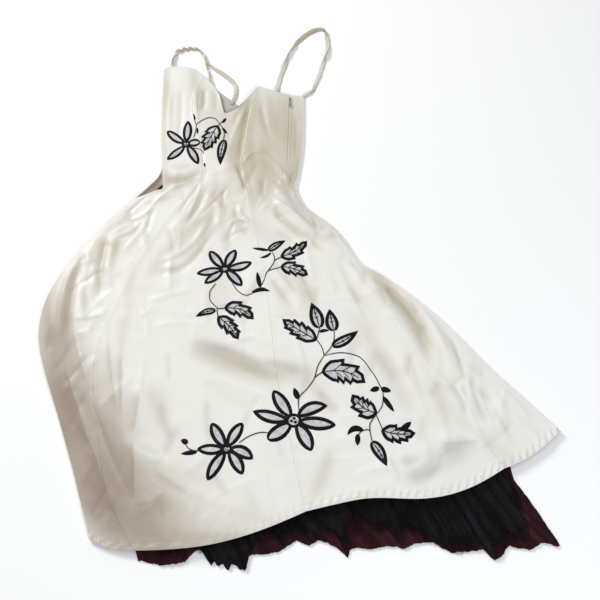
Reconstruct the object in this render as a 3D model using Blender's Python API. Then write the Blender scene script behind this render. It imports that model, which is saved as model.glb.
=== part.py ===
"""A satin cocktail dress laid flat on a surface.

Princess-line dress with thin straps, a sweetheart neckline with a V, a side zip, a flared skirt over two
layers of tulle, and organza flower appliques. +X is to the dress's right as seen from above, +Y runs from
the hem to the neckline, and +Z is up. The dress rests on z = 0.

Every panel is a wall of cloth lofted through sections that lie across the dress. A section number runs from
0 at the top edge to 13 at the hem.
"""

import math

import bmesh
import bpy
import numpy as np

# Driving sizes, in metres.
CLOTH = 0.0015  # wall of a satin panel with its seam allowances
TULLE = 0.0010  # wall of a gathered tulle layer
GAP = 0.0003  # between two pieces that touch
SEAM_TRIM = 0.6 * GAP  # taken off each panel beside a seam
BODICE_EDGE = 0.0028  # outer radius of the fold along a side edge of the bodice
SKIRT_EDGE = 0.0045  # the same along the skirt
BODICE_DOME = 0.0035  # how far the middle of the bodice stands above its edges
SKIRT_DOME = 0.0090  # the same for the skirt, which lies on the tulle
DOME_REACH = 0.08  # distance from a side edge over which the dome rises
FOLD_FADE = 0.05  # distance from a side edge over which the folds rise
HEM_DOME = 0.4  # share of the dome that is left at the hem

# Sections across the dress: the plan position of each length line, x and y in metres.
# Columns: left edge, left princess seam, right princess seam, zip side seam, right edge.
SECTIONS = np.array([
    ((-0.356, 0.556), (-0.243, 0.537), (-0.095, 0.499), (-0.008, 0.471), (0.029, 0.466)),
    ((-0.352, 0.439), (-0.267, 0.436), (-0.117, 0.416), (-0.010, 0.390), (0.029, 0.384)),
    ((-0.345, 0.326), (-0.242, 0.326), (-0.128, 0.311), (-0.012, 0.301), (0.026, 0.301)),
    ((-0.337, 0.234), (-0.229, 0.234), (-0.124, 0.228), (-0.014, 0.216), (0.016, 0.222)),
    ((-0.367, 0.182), (-0.245, 0.173), (-0.112, 0.173), (-0.003, 0.179), (0.010, 0.179)),
    ((-0.445, 0.097), (-0.289, 0.120), (-0.100, 0.100), (0.026, 0.126), (0.038, 0.123)),
    ((-0.523, -0.010), (-0.340, 0.022), (-0.083, 0.022), (0.100, 0.062), (0.112, 0.058)),
    ((-0.575, -0.113), (-0.376, -0.056), (-0.069, -0.056), (0.144, -0.010), (0.165, -0.028)),
    ((-0.584, -0.208), (-0.406, -0.136), (-0.056, -0.133), (0.189, -0.087), (0.218, -0.064)),
    ((-0.560, -0.294), (-0.434, -0.215), (-0.045, -0.215), (0.241, -0.173), (0.288, -0.120)),
    ((-0.511, -0.407), (-0.441, -0.310), (-0.033, -0.310), (0.311, -0.289), (0.368, -0.198)),
    ((-0.463, -0.523), (-0.418, -0.434), (-0.009, -0.423), (0.376, -0.365), (0.447, -0.291)),
    ((-0.431, -0.610), (-0.382, -0.570), (0.015, -0.539), (0.416, -0.457), (0.524, -0.372)),
    ((-0.412, -0.658), (-0.317, -0.679), (0.031, -0.604), (0.450, -0.516), (0.585, -0.436)),
])
WAIST = 3  # the section at the waist
HEM = 13  # the section at the hem
HEM_REACH = 3.0  # sections over which the hem's bow fades out above it
LEFT, SEAM_L, SEAM_R, ZIP, RIGHT = range(5)  # the columns of SECTIONS

# Dip of the V neckline below the straight line between the two peaks.
# Columns: share of the way from the left peak to the right peak, dip.
NECK_DIP = np.array([
    (0.00, 0.000), (0.12, 0.014), (0.22, 0.034), (0.32, 0.055), (0.37, 0.088),
    (0.42, 0.114), (0.55, 0.100), (0.69, 0.077), (0.82, 0.047), (1.00, 0.000),
])
NECK_ARCH = 0.021  # rise of the left cup's top edge
BACK_SCOOP = 0.080  # depth of the back neckline's scoop
BACK_SCOOP_AT = 0.40  # where the scoop is deepest, as a share of the width from the right edge
BACK_SCOOP_HALF = 0.33
HEM_BULGES = (0.006, 0.022, 0.029, 0.010)  # how far each front panel's hem bows out, left to right
HEM_SKEW = (1.0, 1.0, 1.8, 1.0)  # above 1 moves the bow's deepest point towards the right
BACK_HEM_BULGE = 0.030

# Seams underneath, as shares of the width from the right edge to the left edge.
BACK_SEAM_R = 0.28
BACK_SEAM_L = 0.66
SIDE_SEAM_L = 0.93

# The largest folds. Columns: start x, y, middle x, y, end x, y, half width, height (a trough is negative).
FOLDS = (
    (-0.466, 0.029, -0.518, -0.129, -0.521, -0.276, 0.026, 0.006),  # long roll along the left edge
    (-0.410, -0.204, -0.409, -0.390, -0.358, -0.590, 0.020, 0.006),  # pressed ridge at the lower left
    (-0.306, 0.095, -0.397, -0.127, -0.440, -0.281, 0.022, -0.005),  # valley down the left princess seam
    (-0.325, 0.179, -0.279, 0.200, -0.235, 0.223, 0.012, 0.005),  # ridge across the left waist
    (-0.105, 0.127, -0.063, -0.104, -0.030, -0.334, 0.022, -0.004),  # valley down the right princess seam
    (-0.077, 0.170, -0.018, 0.098, 0.031, 0.034, 0.020, 0.006),  # slanting fold at the right hip
    (0.189, -0.068, 0.260, -0.192, 0.324, -0.311, 0.026, -0.006),  # deep valley beside the zip seam
    (0.393, -0.240, 0.405, -0.323, 0.405, -0.412, 0.018, 0.006),  # ripple on the right back panel
    (-0.448, -0.323, -0.400, -0.456, -0.342, -0.600, 0.016, -0.004),  # crease at the lower left
    (0.243, -0.477, 0.294, -0.502, 0.356, -0.519, 0.022, 0.006),  # wave above the right of the hem
)

# Sections at which each panel is lofted: closer on the bodice and at the hip.
SECTION_STEPS = np.unique(np.concatenate([
    np.linspace(0, 3, 9), np.linspace(3, 6, 7), np.linspace(6, HEM, 14),
]))
ARC_STEPS = np.radians([60.0, 20.0, -20.0, -60.0, -90.0])

# Shares of the way across each panel at which it has a line of points.
LEFT_SHARES = np.linspace(0, 1, 6)
CENTRE_SHARES = (0.0, 0.12, 0.22, 0.32, 0.37, 0.42, 0.55, 0.69, 0.82, 1.0)
RIGHT_SHARES = np.linspace(0, 1, 7)
STRIP_SHARES = np.linspace(0, 1, 4)
LEFT_UNDER_SHARES = (1.0, SIDE_SEAM_L)
RIGHT_UNDER_SHARES = (0.0, 0.07, 0.17, BACK_SEAM_R)
BACK_CENTRE_SHARES = (BACK_SEAM_R, BACK_SCOOP_AT, 0.48, 0.56, BACK_SEAM_L)
BACK_LEFT_SHARES = (BACK_SEAM_L, 0.73, SIDE_SEAM_L)

# Straps. Columns: x, y, half width, height of the underside.
STRAP_RIGHT = np.array([
    (-0.0480, 0.4740, 0.0050, 0.0040), (-0.0460, 0.4840, 0.0050, 0.0034), (-0.0400, 0.5100, 0.0058, 0.0),
    (-0.0330, 0.5420, 0.0062, 0.0), (-0.0200, 0.5840, 0.0060, 0.0), (-0.0090, 0.6230, 0.0035, 0.0),
    (0.0080, 0.6540, 0.0050, 0.0), (0.0330, 0.6840, 0.0060, 0.0), (0.0580, 0.7010, 0.0060, 0.0),
    (0.0790, 0.7050, 0.0050, 0.0), (0.0930, 0.6900, 0.0055, 0.0), (0.0970, 0.6480, 0.0062, 0.0),
    (0.0910, 0.6050, 0.0045, 0.0), (0.0790, 0.5730, 0.0050, 0.0), (0.0680, 0.5250, 0.0060, 0.0),
    (0.0600, 0.5010, 0.0050, 0.0), (0.0450, 0.4870, 0.0046, 0.0006), (0.0310, 0.4790, 0.0044, 0.0014),
    (0.0200, 0.4710, 0.0042, 0.0018), (0.0140, 0.4600, 0.0040, 0.0018),
])
STRAP_LEFT = np.array([
    (-0.3300, 0.5630, 0.0045, 0.0029), (-0.3310, 0.5740, 0.0045, 0.0024), (-0.3320, 0.5980, 0.0050, 0.0),
    (-0.3250, 0.6180, 0.0050, 0.0), (-0.3120, 0.6290, 0.0045, 0.0), (-0.2900, 0.6350, 0.0040, 0.0),
    (-0.2650, 0.6320, 0.0040, 0.0), (-0.2500, 0.6160, 0.0040, 0.0), (-0.2400, 0.5900, 0.0036, 0.0),
    (-0.2200, 0.5690, 0.0050, 0.0), (-0.1950, 0.5490, 0.0060, 0.0), (-0.1720, 0.5280, 0.0060, 0.0),
    (-0.1570, 0.5050, 0.0058, 0.0), (-0.1540, 0.4810, 0.0052, 0.0006), (-0.1600, 0.4560, 0.0048, 0.0018),
    (-0.1650, 0.4440, 0.0046, 0.0018),
])
KEEPER = np.array([
    (-0.2225, 0.5100, 0.0026, 0.0050), (-0.2250, 0.5230, 0.0026, 0.0044), (-0.2300, 0.5490, 0.0028, 0.0014),
    (-0.2390, 0.5770, 0.0026, 0.0020), (-0.2420, 0.5860, 0.0024, 0.0020),
])
STRAP_THICK = 0.0016
KEEPER_THICK = 0.0012
STRAP_STEP = 3  # sections for each interval of the tables

# Tulle underskirt. Columns: left x, y, right x, y, height share (1 inside the skirt, 0 down on the surface).
TULLE_ROWS = np.array([
    (-0.325, 0.200, -0.004, 0.198, 1.0), (-0.400, 0.100, 0.020, 0.110, 1.0),
    (-0.490, -0.050, 0.120, -0.020, 1.0), (-0.540, -0.200, 0.235, -0.140, 1.0),
    (-0.490, -0.380, 0.350, -0.260, 1.0), (-0.415, -0.550, 0.440, -0.400, 1.0),
    (-0.330, -0.640, 0.475, -0.515, 1.0), (-0.315, -0.672, 0.530, -0.600, 0.4),
    (-0.308, -0.690, 0.548, -0.655, 0.0),
])
TULLE_FLOOR = 0.0018  # underside of the burgundy layer where it lies on the back panels
TULLE_COLUMNS = 25
# Ragged tongues of the raw edge. Columns: x of the middle, half width, reach past the line.
TONGUES = (
    (-0.260, 0.050, 0.018), (-0.125, 0.060, 0.0425), (0.110, 0.040, 0.026),
    (0.210, 0.040, 0.008), (0.340, 0.060, 0.016), (0.413, 0.026, 0.030), (0.500, 0.030, 0.014),
)
TULLE_RISE = 0.030  # how much higher the raw edge runs in the middle than the line between its corners
BLACK_SHORTER = 0.006
BLACK_DROP = 0.35  # share of the burgundy layer's drop to the surface that the black layer makes too

# Zip. The slider is at the top of the side seam and the pull tab lies down along it.
TAPE_HALF = 0.007
TAPE_THICK = 0.0010
TAPE_SECTIONS = np.linspace(0.05, 2.95, 12)
SLIDER_Y = 0.4560
SLIDER_SIZE = (0.0050, 0.0090, 0.0014)
LUG_THICK = 0.0008
LUG_HALF = 0.0012  # half length along the slider
LUG_HEIGHT = 0.0028
PIN_RADIUS = 0.0005
KNUCKLE_BORE = 0.0008
KNUCKLE_RADIUS = 0.0014
KNUCKLE_LENGTH = 0.0024
TAB_LENGTH = 0.0260
TAB_NARROW = 0.0011  # half width beside the slider
TAB_WIDE = 0.0027  # half width of the drop-shaped end
TAB_THICK = 0.0010
TAB_WIDENS = (0.30, 0.78)  # shares of its length between which the tab widens
TAB_ROUNDS = 0.80  # share of its length at which the round end begins
TAB_SHARES = (0.0, 0.45, 0.62, 0.78, 0.90, 0.97)

# Appliques. The organza lies on the front, a gap above it.
ORGANZA = 0.0008
CUTTER_FLOOR = -0.01
CUTTER_TOP = 0.08
# Flowers. Columns: name, centre x, y, then the x and y of each petal's tip in order round the centre.
FLOWERS = (
    ("flower_bust", -0.277, 0.312, ((-0.329, 0.353), (-0.276, 0.385), (-0.241, 0.318), (-0.242, 0.250),
                                    (-0.323, 0.265))),
    ("flower_hip", -0.160, -0.050, ((-0.198, -0.002), (-0.136, 0.001), (-0.096, -0.034), (-0.118, -0.094),
                                    (-0.206, -0.089), (-0.226, -0.063))),
    ("flower_knee", 0.005, -0.411, ((-0.082, -0.394), (-0.039, -0.349), (0.076, -0.380), (0.093, -0.422),
                                    (0.042, -0.476), (-0.050, -0.455))),
    ("flower_hem", -0.137, -0.476, ((-0.172, -0.420), (-0.105, -0.420), (-0.081, -0.497), (-0.102, -0.529),
                                    (-0.175, -0.541), (-0.200, -0.476))),
)
PETAL_SHARE = 0.20  # half width of a petal as a share of its length
PETAL_ROOM = 0.85  # most that a petal fills of the room up to the middle line between it and the next
PETAL_MIDDLE = 0.17  # radius of the round middle as a share of a petal's mean length
# A petal's outline. Columns: share of its length, share of its half width with the side as the sign.
PETAL_STATIONS = (
    (0.30, -0.62), (0.58, -1.0), (0.84, -0.55), (1.0, 0.0), (0.84, 0.55), (0.58, 1.0), (0.30, 0.62),
)
# Leaves. Columns: name, base x, y, tip x, y, half width as a share of the length, whether it is toothed.
LEAVES = (
    ("leaf_bust_a", -0.196, 0.366, -0.231, 0.296, 0.28, True),
    ("leaf_bust_b", -0.178, 0.324, -0.185, 0.247, 0.19, False),
    ("leaf_hip_a", -0.156, -0.149, -0.090, -0.178, 0.19, True),
    ("leaf_hip_b", -0.176, -0.155, -0.221, -0.172, 0.26, False),
    ("leaf_hip_c", -0.171, -0.172, -0.124, -0.230, 0.19, True),
    ("leaf_hip_d", -0.056, -0.007, -0.018, 0.026, 0.26, False),
    ("leaf_hip_e", -0.027, -0.025, 0.033, 0.026, 0.26, True),
    ("leaf_hip_f", -0.027, -0.039, 0.035, -0.070, 0.28, True),
    ("leaf_knee_a", 0.057, -0.231, -0.020, -0.182, 0.27, True),
    ("leaf_knee_b", 0.062, -0.199, 0.044, -0.139, 0.27, False),
    ("leaf_knee_c", 0.097, -0.206, 0.088, -0.155, 0.30, False),
    ("leaf_knee_d", 0.094, -0.243, 0.149, -0.209, 0.27, False),
    ("leaf_knee_e", 0.068, -0.306, 0.163, -0.327, 0.26, True),
    ("leaf_knee_f", 0.182, -0.404, 0.133, -0.359, 0.32, True),
    ("leaf_knee_g", 0.196, -0.428, 0.267, -0.441, 0.28, True),
    ("leaf_knee_h", 0.173, -0.460, 0.200, -0.513, 0.27, False),
)
# A leaf's outline. Columns: share of its length, share of its half width.
LEAF_STATIONS = ((0.12, 0.55), (0.36, 1.0), (0.66, 0.80), (0.86, 0.38))
TOOTHED_STATIONS = (
    (0.10, 0.60), (0.30, 1.0), (0.50, 1.0), (0.46, 0.66), (0.74, 0.70), (0.70, 0.42), (0.88, 0.26),
)

# Colours, roughness: one row for each material.
FINISHES = {
    "satin": ((0.83, 0.80, 0.71), 0.38),
    "satin_back": ((0.70, 0.64, 0.57), 0.60),
    "tulle_black": ((0.012, 0.009, 0.013), 0.85),
    "tulle_burgundy": ((0.070, 0.012, 0.020), 0.85),
    "zip_tape": ((0.66, 0.61, 0.52), 0.80),
    "zip_metal": ((0.45, 0.42, 0.38), 0.35),
    "organza": ((0.33, 0.33, 0.35), 0.70),
}

collection = bpy.data.collections.new("cocktail_dress")
cutters = bpy.data.collections.new("cutters")


def smooth(x):
    """0 below 0, 1 above 1, and a soft step between."""
    x = np.clip(x, 0.0, 1.0)
    return x * x * (3.0 - 2.0 * x)


def along(table, t):
    """Each column of a table read at section numbers t, on a Catmull-Rom curve through its rows."""
    table = np.asarray(table, float)
    t = np.clip(np.asarray(t, float), 0, len(table) - 1)
    i = np.minimum(t.astype(int), len(table) - 2)
    f = (t - i)[(...,) + (None,) * (table.ndim - 1)]
    p0 = table[np.maximum(i - 1, 0)]
    p1 = table[i]
    p2 = table[i + 1]
    p3 = table[np.minimum(i + 2, len(table) - 1)]
    return p1 + 0.5 * f * (p2 - p0 + f * (2 * p0 - 5 * p1 + 4 * p2 - p3 + f * (3 * (p1 - p2) + p3 - p0)))


def unit(v):
    return v / np.linalg.norm(v, axis=-1, keepdims=True)


def edge_radius(t):
    return BODICE_EDGE + (SKIRT_EDGE - BODICE_EDGE) * smooth((np.asarray(t, float) - WAIST) / 2.0)


def edge(side, t):
    """The outermost line of a side edge and the direction from it into the dress."""
    inner = SEAM_L if side == LEFT else SEAM_R
    line = along(SECTIONS[:, side], t)
    return line, unit(along(SECTIONS[:, inner], t) - line)


def at_neck(t):
    """1 at the top edge, 0 from the waist down."""
    return np.clip(1.0 - t / WAIST, 0.0, 1.0) ** 2


def at_hem(t):
    """1 at the hem, 0 from a few sections above it."""
    return np.clip((t - HEM + HEM_REACH) / HEM_REACH, 0.0, 1.0) ** 2


def front_line(column, t):
    """Plan line of a seam, or of the place where the flat front begins beside a side edge."""
    if column in (LEFT, RIGHT):
        line, inward = edge(column, t)
        return line + inward * edge_radius(t)[..., None]
    return along(SECTIONS[:, column], t)


def front_plan(panel, u, t):
    """Plan point of the front at share u of the way across a panel, 0 to 3 from the left, at section t."""
    u, t = np.broadcast_arrays(np.asarray(u, float), np.asarray(t, float))
    a = front_line(panel, t)
    b = front_line(panel + 1, t)
    point = a + (b - a) * u[..., None]
    top = at_neck(t)
    hem = at_hem(t)
    if panel == 0:
        point[..., 1] += NECK_ARCH * top * np.sqrt(np.clip(4 * u * (1 - u), 0, 1))
    if panel == 1:
        point[..., 1] -= top * np.interp(u, NECK_DIP[:, 0], NECK_DIP[:, 1])
    point[..., 1] -= hem * HEM_BULGES[panel] * np.sin(math.pi * u ** HEM_SKEW[panel])
    return point


def fold_height(x, y):
    """Sum of the folds at plan points: each is a bent line whose cross-section is a bell."""
    total = np.zeros_like(x)
    s = np.linspace(0.0, 1.0, 13)
    for x0, y0, x1, y1, x2, y2, half, height in FOLDS:
        cx = (1 - s) ** 2 * x0 + 2 * s * (1 - s) * (2 * x1 - 0.5 * (x0 + x2)) + s ** 2 * x2
        cy = (1 - s) ** 2 * y0 + 2 * s * (1 - s) * (2 * y1 - 0.5 * (y0 + y2)) + s ** 2 * y2
        d2 = (x[..., None] - cx) ** 2 + (y[..., None] - cy) ** 2
        near = d2.argmin(axis=-1)
        ends = smooth(4 * s) * smooth(4 * (1 - s))
        total += height * ends[near] * np.exp(-d2.min(axis=-1) / half ** 2)
    return total


def top_height(point, t):
    """Height of the outer face of the front at plan points of section t."""
    left, _ = edge(LEFT, t)
    right, _ = edge(RIGHT, t)
    radius = edge_radius(t)
    from_left = np.maximum(np.linalg.norm(point - left, axis=-1) - radius, 0.0)
    from_right = np.maximum(np.linalg.norm(point - right, axis=-1) - radius, 0.0)
    dome = BODICE_DOME + (SKIRT_DOME - BODICE_DOME) * smooth((t - WAIST) / 3.0)
    dome = dome * (1 - (1 - HEM_DOME) * smooth((t - HEM + 1.5) / 1.5))
    dome = dome * (1 - np.exp(-from_left / DOME_REACH)) * (1 - np.exp(-from_right / DOME_REACH))
    near_edge = smooth(np.minimum(from_left, from_right) / FOLD_FADE)
    return 2 * radius + dome + near_edge * fold_height(point[..., 0], point[..., 1])


def back_plan(f, t):
    """Plan point of the layer underneath at share f of the width from the right edge."""
    f, t = np.broadcast_arrays(np.asarray(f, float), np.asarray(t, float))
    right = front_line(RIGHT, t)
    left = front_line(LEFT, t)
    point = right + (left - right) * f[..., None]
    top = at_neck(t)
    hem = at_hem(t)
    point[..., 1] -= top * BACK_SCOOP * np.clip(1 - np.abs(f - BACK_SCOOP_AT) / BACK_SCOOP_HALF, 0, 1)
    point[..., 1] -= hem * BACK_HEM_BULGE * 4 * f * (1 - f)
    return point


def with_height(point, z):
    return np.concatenate([point, np.broadcast_to(z, point.shape[:-1])[..., None]], axis=-1)


def wrap_columns(side, t):
    """Outer and inner points of the fold round a side edge, from its top to the surface below."""
    line, inward = edge(side, t)
    radius = edge_radius(t)
    middle = line + inward * radius[..., None]
    outer = []
    inner = []
    for angle in ARC_STEPS:
        for points, r in ((outer, radius), (inner, radius - CLOTH)):
            plan = middle - inward * (r * math.cos(angle))[..., None]
            points.append(with_height(plan, radius + r * math.sin(angle)))
    return outer, inner


def top_columns(panel, shares, t, trim_first, trim_last):
    """Outer and inner points of a panel's upper side, its first and last column trimmed for the seam gap."""
    outer = []
    inner = []
    across = unit(front_line(panel + 1, t) - front_line(panel, t))
    for i, share in enumerate(shares):
        plan = front_plan(panel, share, t)
        z = top_height(plan, t)
        if i == 0 and trim_first:
            plan = plan + across * SEAM_TRIM
        if i == len(shares) - 1 and trim_last:
            plan = plan - across * SEAM_TRIM
        outer.append(with_height(plan, z))
        inner.append(with_height(plan, z - CLOTH))
    return outer, inner


def under_columns(shares, t, trim_first=False, trim_last=False):
    """Outer (lower) and inner (upper) points of the layer that rests on the surface."""
    outer = []
    inner = []
    across = unit(front_line(LEFT, t) - front_line(RIGHT, t))
    for i, share in enumerate(shares):
        plan = back_plan(share, t)
        if i == 0 and trim_first:
            plan = plan + across * SEAM_TRIM
        if i == len(shares) - 1 and trim_last:
            plan = plan - across * SEAM_TRIM
        outer.append(with_height(plan, 0.0))
        inner.append(with_height(plan, CLOTH))
    return outer, inner


def material(name):
    found = bpy.data.materials.get(name)
    if found:
        return found
    colour, roughness = FINISHES[name]
    made = bpy.data.materials.new(name)
    made.use_nodes = True
    shader = made.node_tree.nodes["Principled BSDF"]
    shader.inputs["Base Color"].default_value = (*colour, 1.0)
    shader.inputs["Roughness"].default_value = roughness
    shader.inputs["Metallic"].default_value = 1.0 if name == "zip_metal" else 0.0
    return made


def add_object(name, mesh, finish):
    made = bpy.data.objects.new(name, mesh)
    mesh.materials.append(material(finish))
    collection.objects.link(made)
    return made


def wall_mesh(name, outer, inner):
    """A closed wall from two grids of points (columns by sections), outer and inner, joined round the rim."""
    outer = np.asarray(outer)
    inner = np.asarray(inner)
    columns, rows = outer.shape[:2]
    mesh = bmesh.new()
    faces_up = [[mesh.verts.new(p) for p in column] for column in outer]
    faces_down = [[mesh.verts.new(p) for p in column] for column in inner]
    for i in range(columns - 1):
        for j in range(rows - 1):
            for side, turn in ((faces_up, 1), (faces_down, -1)):
                corners = (side[i][j], side[i][j + 1], side[i + 1][j + 1], side[i + 1][j])
                for corner in ((0, 1, 2), (0, 2, 3)):
                    mesh.faces.new([corners[k] for k in corner[::turn]])
    rim = [(i, 0) for i in range(columns)] + [(columns - 1, j) for j in range(1, rows)]
    rim += [(i, rows - 1) for i in range(columns - 2, -1, -1)] + [(0, j) for j in range(rows - 2, 0, -1)]
    for (i, j), (k, m) in zip(rim, rim[1:] + rim[:1]):
        mesh.faces.new((faces_up[i][j], faces_up[k][m], faces_down[k][m]))
        mesh.faces.new((faces_up[i][j], faces_down[k][m], faces_down[i][j]))
    bmesh.ops.recalc_face_normals(mesh, faces=mesh.faces)
    data = bpy.data.meshes.new(name)
    mesh.to_mesh(data)
    mesh.free()
    return data


def front_panels():
    """The three front panels and the back panel that wraps round the right edge."""
    t = SECTION_STEPS
    arc_out, arc_in = wrap_columns(LEFT, t)
    top_out, top_in = top_columns(0, LEFT_SHARES, t, False, True)
    under_out, under_in = under_columns(LEFT_UNDER_SHARES, t, False, True)
    outer = under_out[:0:-1] + arc_out[::-1] + top_out
    inner = under_in[:0:-1] + arc_in[::-1] + top_in
    add_object("front_left", wall_mesh("front_left", outer, inner), "satin")

    outer, inner = top_columns(1, CENTRE_SHARES, t, True, True)
    add_object("front_centre", wall_mesh("front_centre", outer, inner), "satin")

    outer, inner = top_columns(2, RIGHT_SHARES, t, True, True)
    add_object("front_right", wall_mesh("front_right", outer, inner), "satin")

    arc_out, arc_in = wrap_columns(RIGHT, t)
    top_out, top_in = top_columns(3, STRIP_SHARES, t, True, False)
    under_out, under_in = under_columns(RIGHT_UNDER_SHARES, t, False, True)
    outer = top_out + arc_out + under_out[1:]
    inner = top_in + arc_in + under_in[1:]
    add_object("back_right", wall_mesh("back_right", outer, inner), "satin")


def back_panels():
    """The two panels that lie wholly underneath."""
    t = SECTION_STEPS
    for name, shares in (("back_centre", BACK_CENTRE_SHARES), ("back_left", BACK_LEFT_SHARES)):
        outer, inner = under_columns(shares, t, True, True)
        add_object(name, wall_mesh(name, outer, inner), "satin_back")


def ribbon(name, stations, thick, finish):
    """A flat band through stations of x, y, half width and underside height, one section after another."""
    t = np.linspace(0, len(stations) - 1, STRAP_STEP * (len(stations) - 1) + 1)
    rows = along(stations, t)
    rows[:, 3] = np.maximum(rows[:, 3], 0.0)
    run = unit(np.gradient(rows[:, :2], axis=0))
    side = np.stack([-run[:, 1], run[:, 0]], axis=-1) * rows[:, 2:3]
    lower = [with_height(rows[:, :2] + side * k, rows[:, 3]) for k in (-1, 1)]
    upper = [with_height(rows[:, :2] + side * k, rows[:, 3] + thick) for k in (-1, 1)]
    add_object(name, wall_mesh(name, upper, lower), finish)


def tulle_layer(name, floor, shorter, drop):
    """A gathered layer that lies inside the skirt and shows below the hem with a torn raw edge."""
    t = np.linspace(0, len(TULLE_ROWS) - 1, 2 * len(TULLE_ROWS) - 1)
    rows = along(TULLE_ROWS, t)
    reach = smooth((t - len(TULLE_ROWS) + 3.0) / 2.0)
    outer = []
    inner = []
    for u in np.linspace(0, 1, TULLE_COLUMNS):
        plan = rows[:, 0:2] * (1 - u) + rows[:, 2:4] * u
        torn = sum(r * max(0.0, 1 - abs(plan[-1, 0] - x) / half) for x, half, r in TONGUES)
        rise = TULLE_RISE * math.sin(math.pi * u) ** 2
        plan[:, 1] += reach * (rise - torn + shorter)
        z = floor - (floor - GAP) * (1 - rows[:, 4]) * drop
        inner.append(with_height(plan, z))
        outer.append(with_height(plan, z + TULLE))
    add_object(name, wall_mesh(name, outer, inner), name)


def mesh_object(name, finish, build):
    """An object whose mesh is filled by a function that takes the bmesh."""
    data = bpy.data.meshes.new(name)
    mesh = bmesh.new()
    build(mesh)
    bmesh.ops.recalc_face_normals(mesh, faces=mesh.faces)
    mesh.to_mesh(data)
    mesh.free()
    return add_object(name, data, finish)


def box(mesh, low, high):
    made = bmesh.ops.create_cube(mesh, size=1.0)["verts"]
    for v in made:
        for k in range(3):
            v.co[k] = low[k] if v.co[k] < 0 else high[k]


def prism(mesh, outline, low, high):
    """An upright solid on a plan outline."""
    bottom = mesh.faces.new([mesh.verts.new((x, y, low)) for x, y in outline])
    made = bmesh.ops.extrude_face_region(mesh, geom=[bottom])["geom"]
    for item in made:
        if isinstance(item, bmesh.types.BMVert):
            item.co.z = high


def rod(mesh, centre, radius, length, sides=20):
    """A cylinder along X."""
    made = bmesh.ops.create_cone(
        mesh, cap_ends=True, segments=sides, radius1=radius, radius2=radius, depth=length
    )["verts"]
    for v in made:
        x, y, z = v.co
        v.co = (centre[0] + z, centre[1] + x, centre[2] + y)


def join(target, other, operation):
    """A live Boolean of one object with another that is only a tool."""
    cutters.objects.link(other)
    if other.name in collection.objects:
        collection.objects.unlink(other)
    other.hide_render = True
    other.display_type = "WIRE"
    modifier = target.modifiers.new(operation.lower(), "BOOLEAN")
    modifier.operation = operation
    modifier.object = other
    modifier.solver = "EXACT"


def zip_parts():
    """The tape under the seam, the slider on it, and the pull tab on the slider's pin."""
    t = TAPE_SECTIONS
    seam = along(SECTIONS[:, ZIP], t)
    z = top_height(seam, t) - CLOTH - GAP - TAPE_THICK
    drop = np.array((TAPE_HALF, 0.0))
    # The tape follows the lower of the two panels across its width.
    beside = np.minimum(top_height(seam - drop, t), top_height(seam + drop, t))
    z = np.minimum(z, beside - CLOTH - GAP - TAPE_THICK)
    lower = [with_height(seam + drop * k, z) for k in (-1, 1)]
    upper = [with_height(seam + drop * k, z + TAPE_THICK) for k in (-1, 1)]
    add_object("zip_tape", wall_mesh("zip_tape", upper, lower), "zip_tape")

    section = np.interp(-SLIDER_Y, -SECTIONS[:4, ZIP, 1], np.arange(4))
    x = float(along(SECTIONS[:, ZIP], section)[0])
    corners = np.array([
        (x + i * SLIDER_SIZE[0] / 2, SLIDER_Y + j * SLIDER_SIZE[1] / 2) for i in (-1, 1) for j in (-1, 1)
    ])
    seat = float(top_height(corners, np.full(4, section)).max()) + GAP
    deck = seat + SLIDER_SIZE[2]
    pin_z = deck + LUG_HEIGHT - 2 * PIN_RADIUS
    pin_y = SLIDER_Y
    lug_in = KNUCKLE_LENGTH / 2 + GAP

    def base(mesh):
        box(mesh, (x - SLIDER_SIZE[0] / 2, SLIDER_Y - SLIDER_SIZE[1] / 2, seat),
            (x + SLIDER_SIZE[0] / 2, SLIDER_Y + SLIDER_SIZE[1] / 2, deck))

    slider = mesh_object("zip_slider", "zip_metal", base)
    for side in (-1, 1):
        def lug(mesh, side=side):
            near = x + side * lug_in
            far = x + side * (lug_in + LUG_THICK)
            low = (min(near, far), pin_y - LUG_HALF, deck - GAP)
            high = (max(near, far), pin_y + LUG_HALF, deck + LUG_HEIGHT)
            box(mesh, low, high)

        join(slider, mesh_object(f"slider_lug_{side}", "zip_metal", lug), "UNION")
    pin = mesh_object(
        "slider_pin", "zip_metal",
        lambda mesh: rod(mesh, (x, pin_y, pin_z), PIN_RADIUS, 2 * (lug_in + LUG_THICK / 2), 16),
    )
    join(slider, pin, "UNION")

    outline = []
    tab_y = pin_y - KNUCKLE_BORE - GAP
    for share in TAB_SHARES:
        widened = float(smooth((share - TAB_WIDENS[0]) / (TAB_WIDENS[1] - TAB_WIDENS[0])))
        wide = TAB_NARROW + (TAB_WIDE - TAB_NARROW) * widened
        if share > TAB_ROUNDS:
            wide = TAB_WIDE * math.sqrt(1 - ((share - TAB_ROUNDS) / (1 - TAB_ROUNDS)) ** 2)
        outline.append((wide, tab_y - share * TAB_LENGTH))
    outline.append((0.0, tab_y - TAB_LENGTH))
    outline = [(x + w, y) for w, y in outline] + [(x - w, y) for w, y in outline[-2::-1]]

    tab = mesh_object(
        "zip_pull_tab", "zip_metal",
        lambda mesh: rod(mesh, (x, pin_y, pin_z), KNUCKLE_RADIUS, KNUCKLE_LENGTH, 24),
    )
    plate = mesh_object(
        "tab_plate", "zip_metal",
        lambda mesh: prism(mesh, outline, pin_z - TAB_THICK / 2, pin_z + TAB_THICK / 2),
    )
    join(tab, plate, "UNION")
    bore = mesh_object(
        "tab_bore", "zip_metal",
        lambda mesh: rod(mesh, (x, pin_y, pin_z), KNUCKLE_BORE, 2 * KNUCKLE_LENGTH),
    )
    join(tab, bore, "DIFFERENCE")


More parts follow.
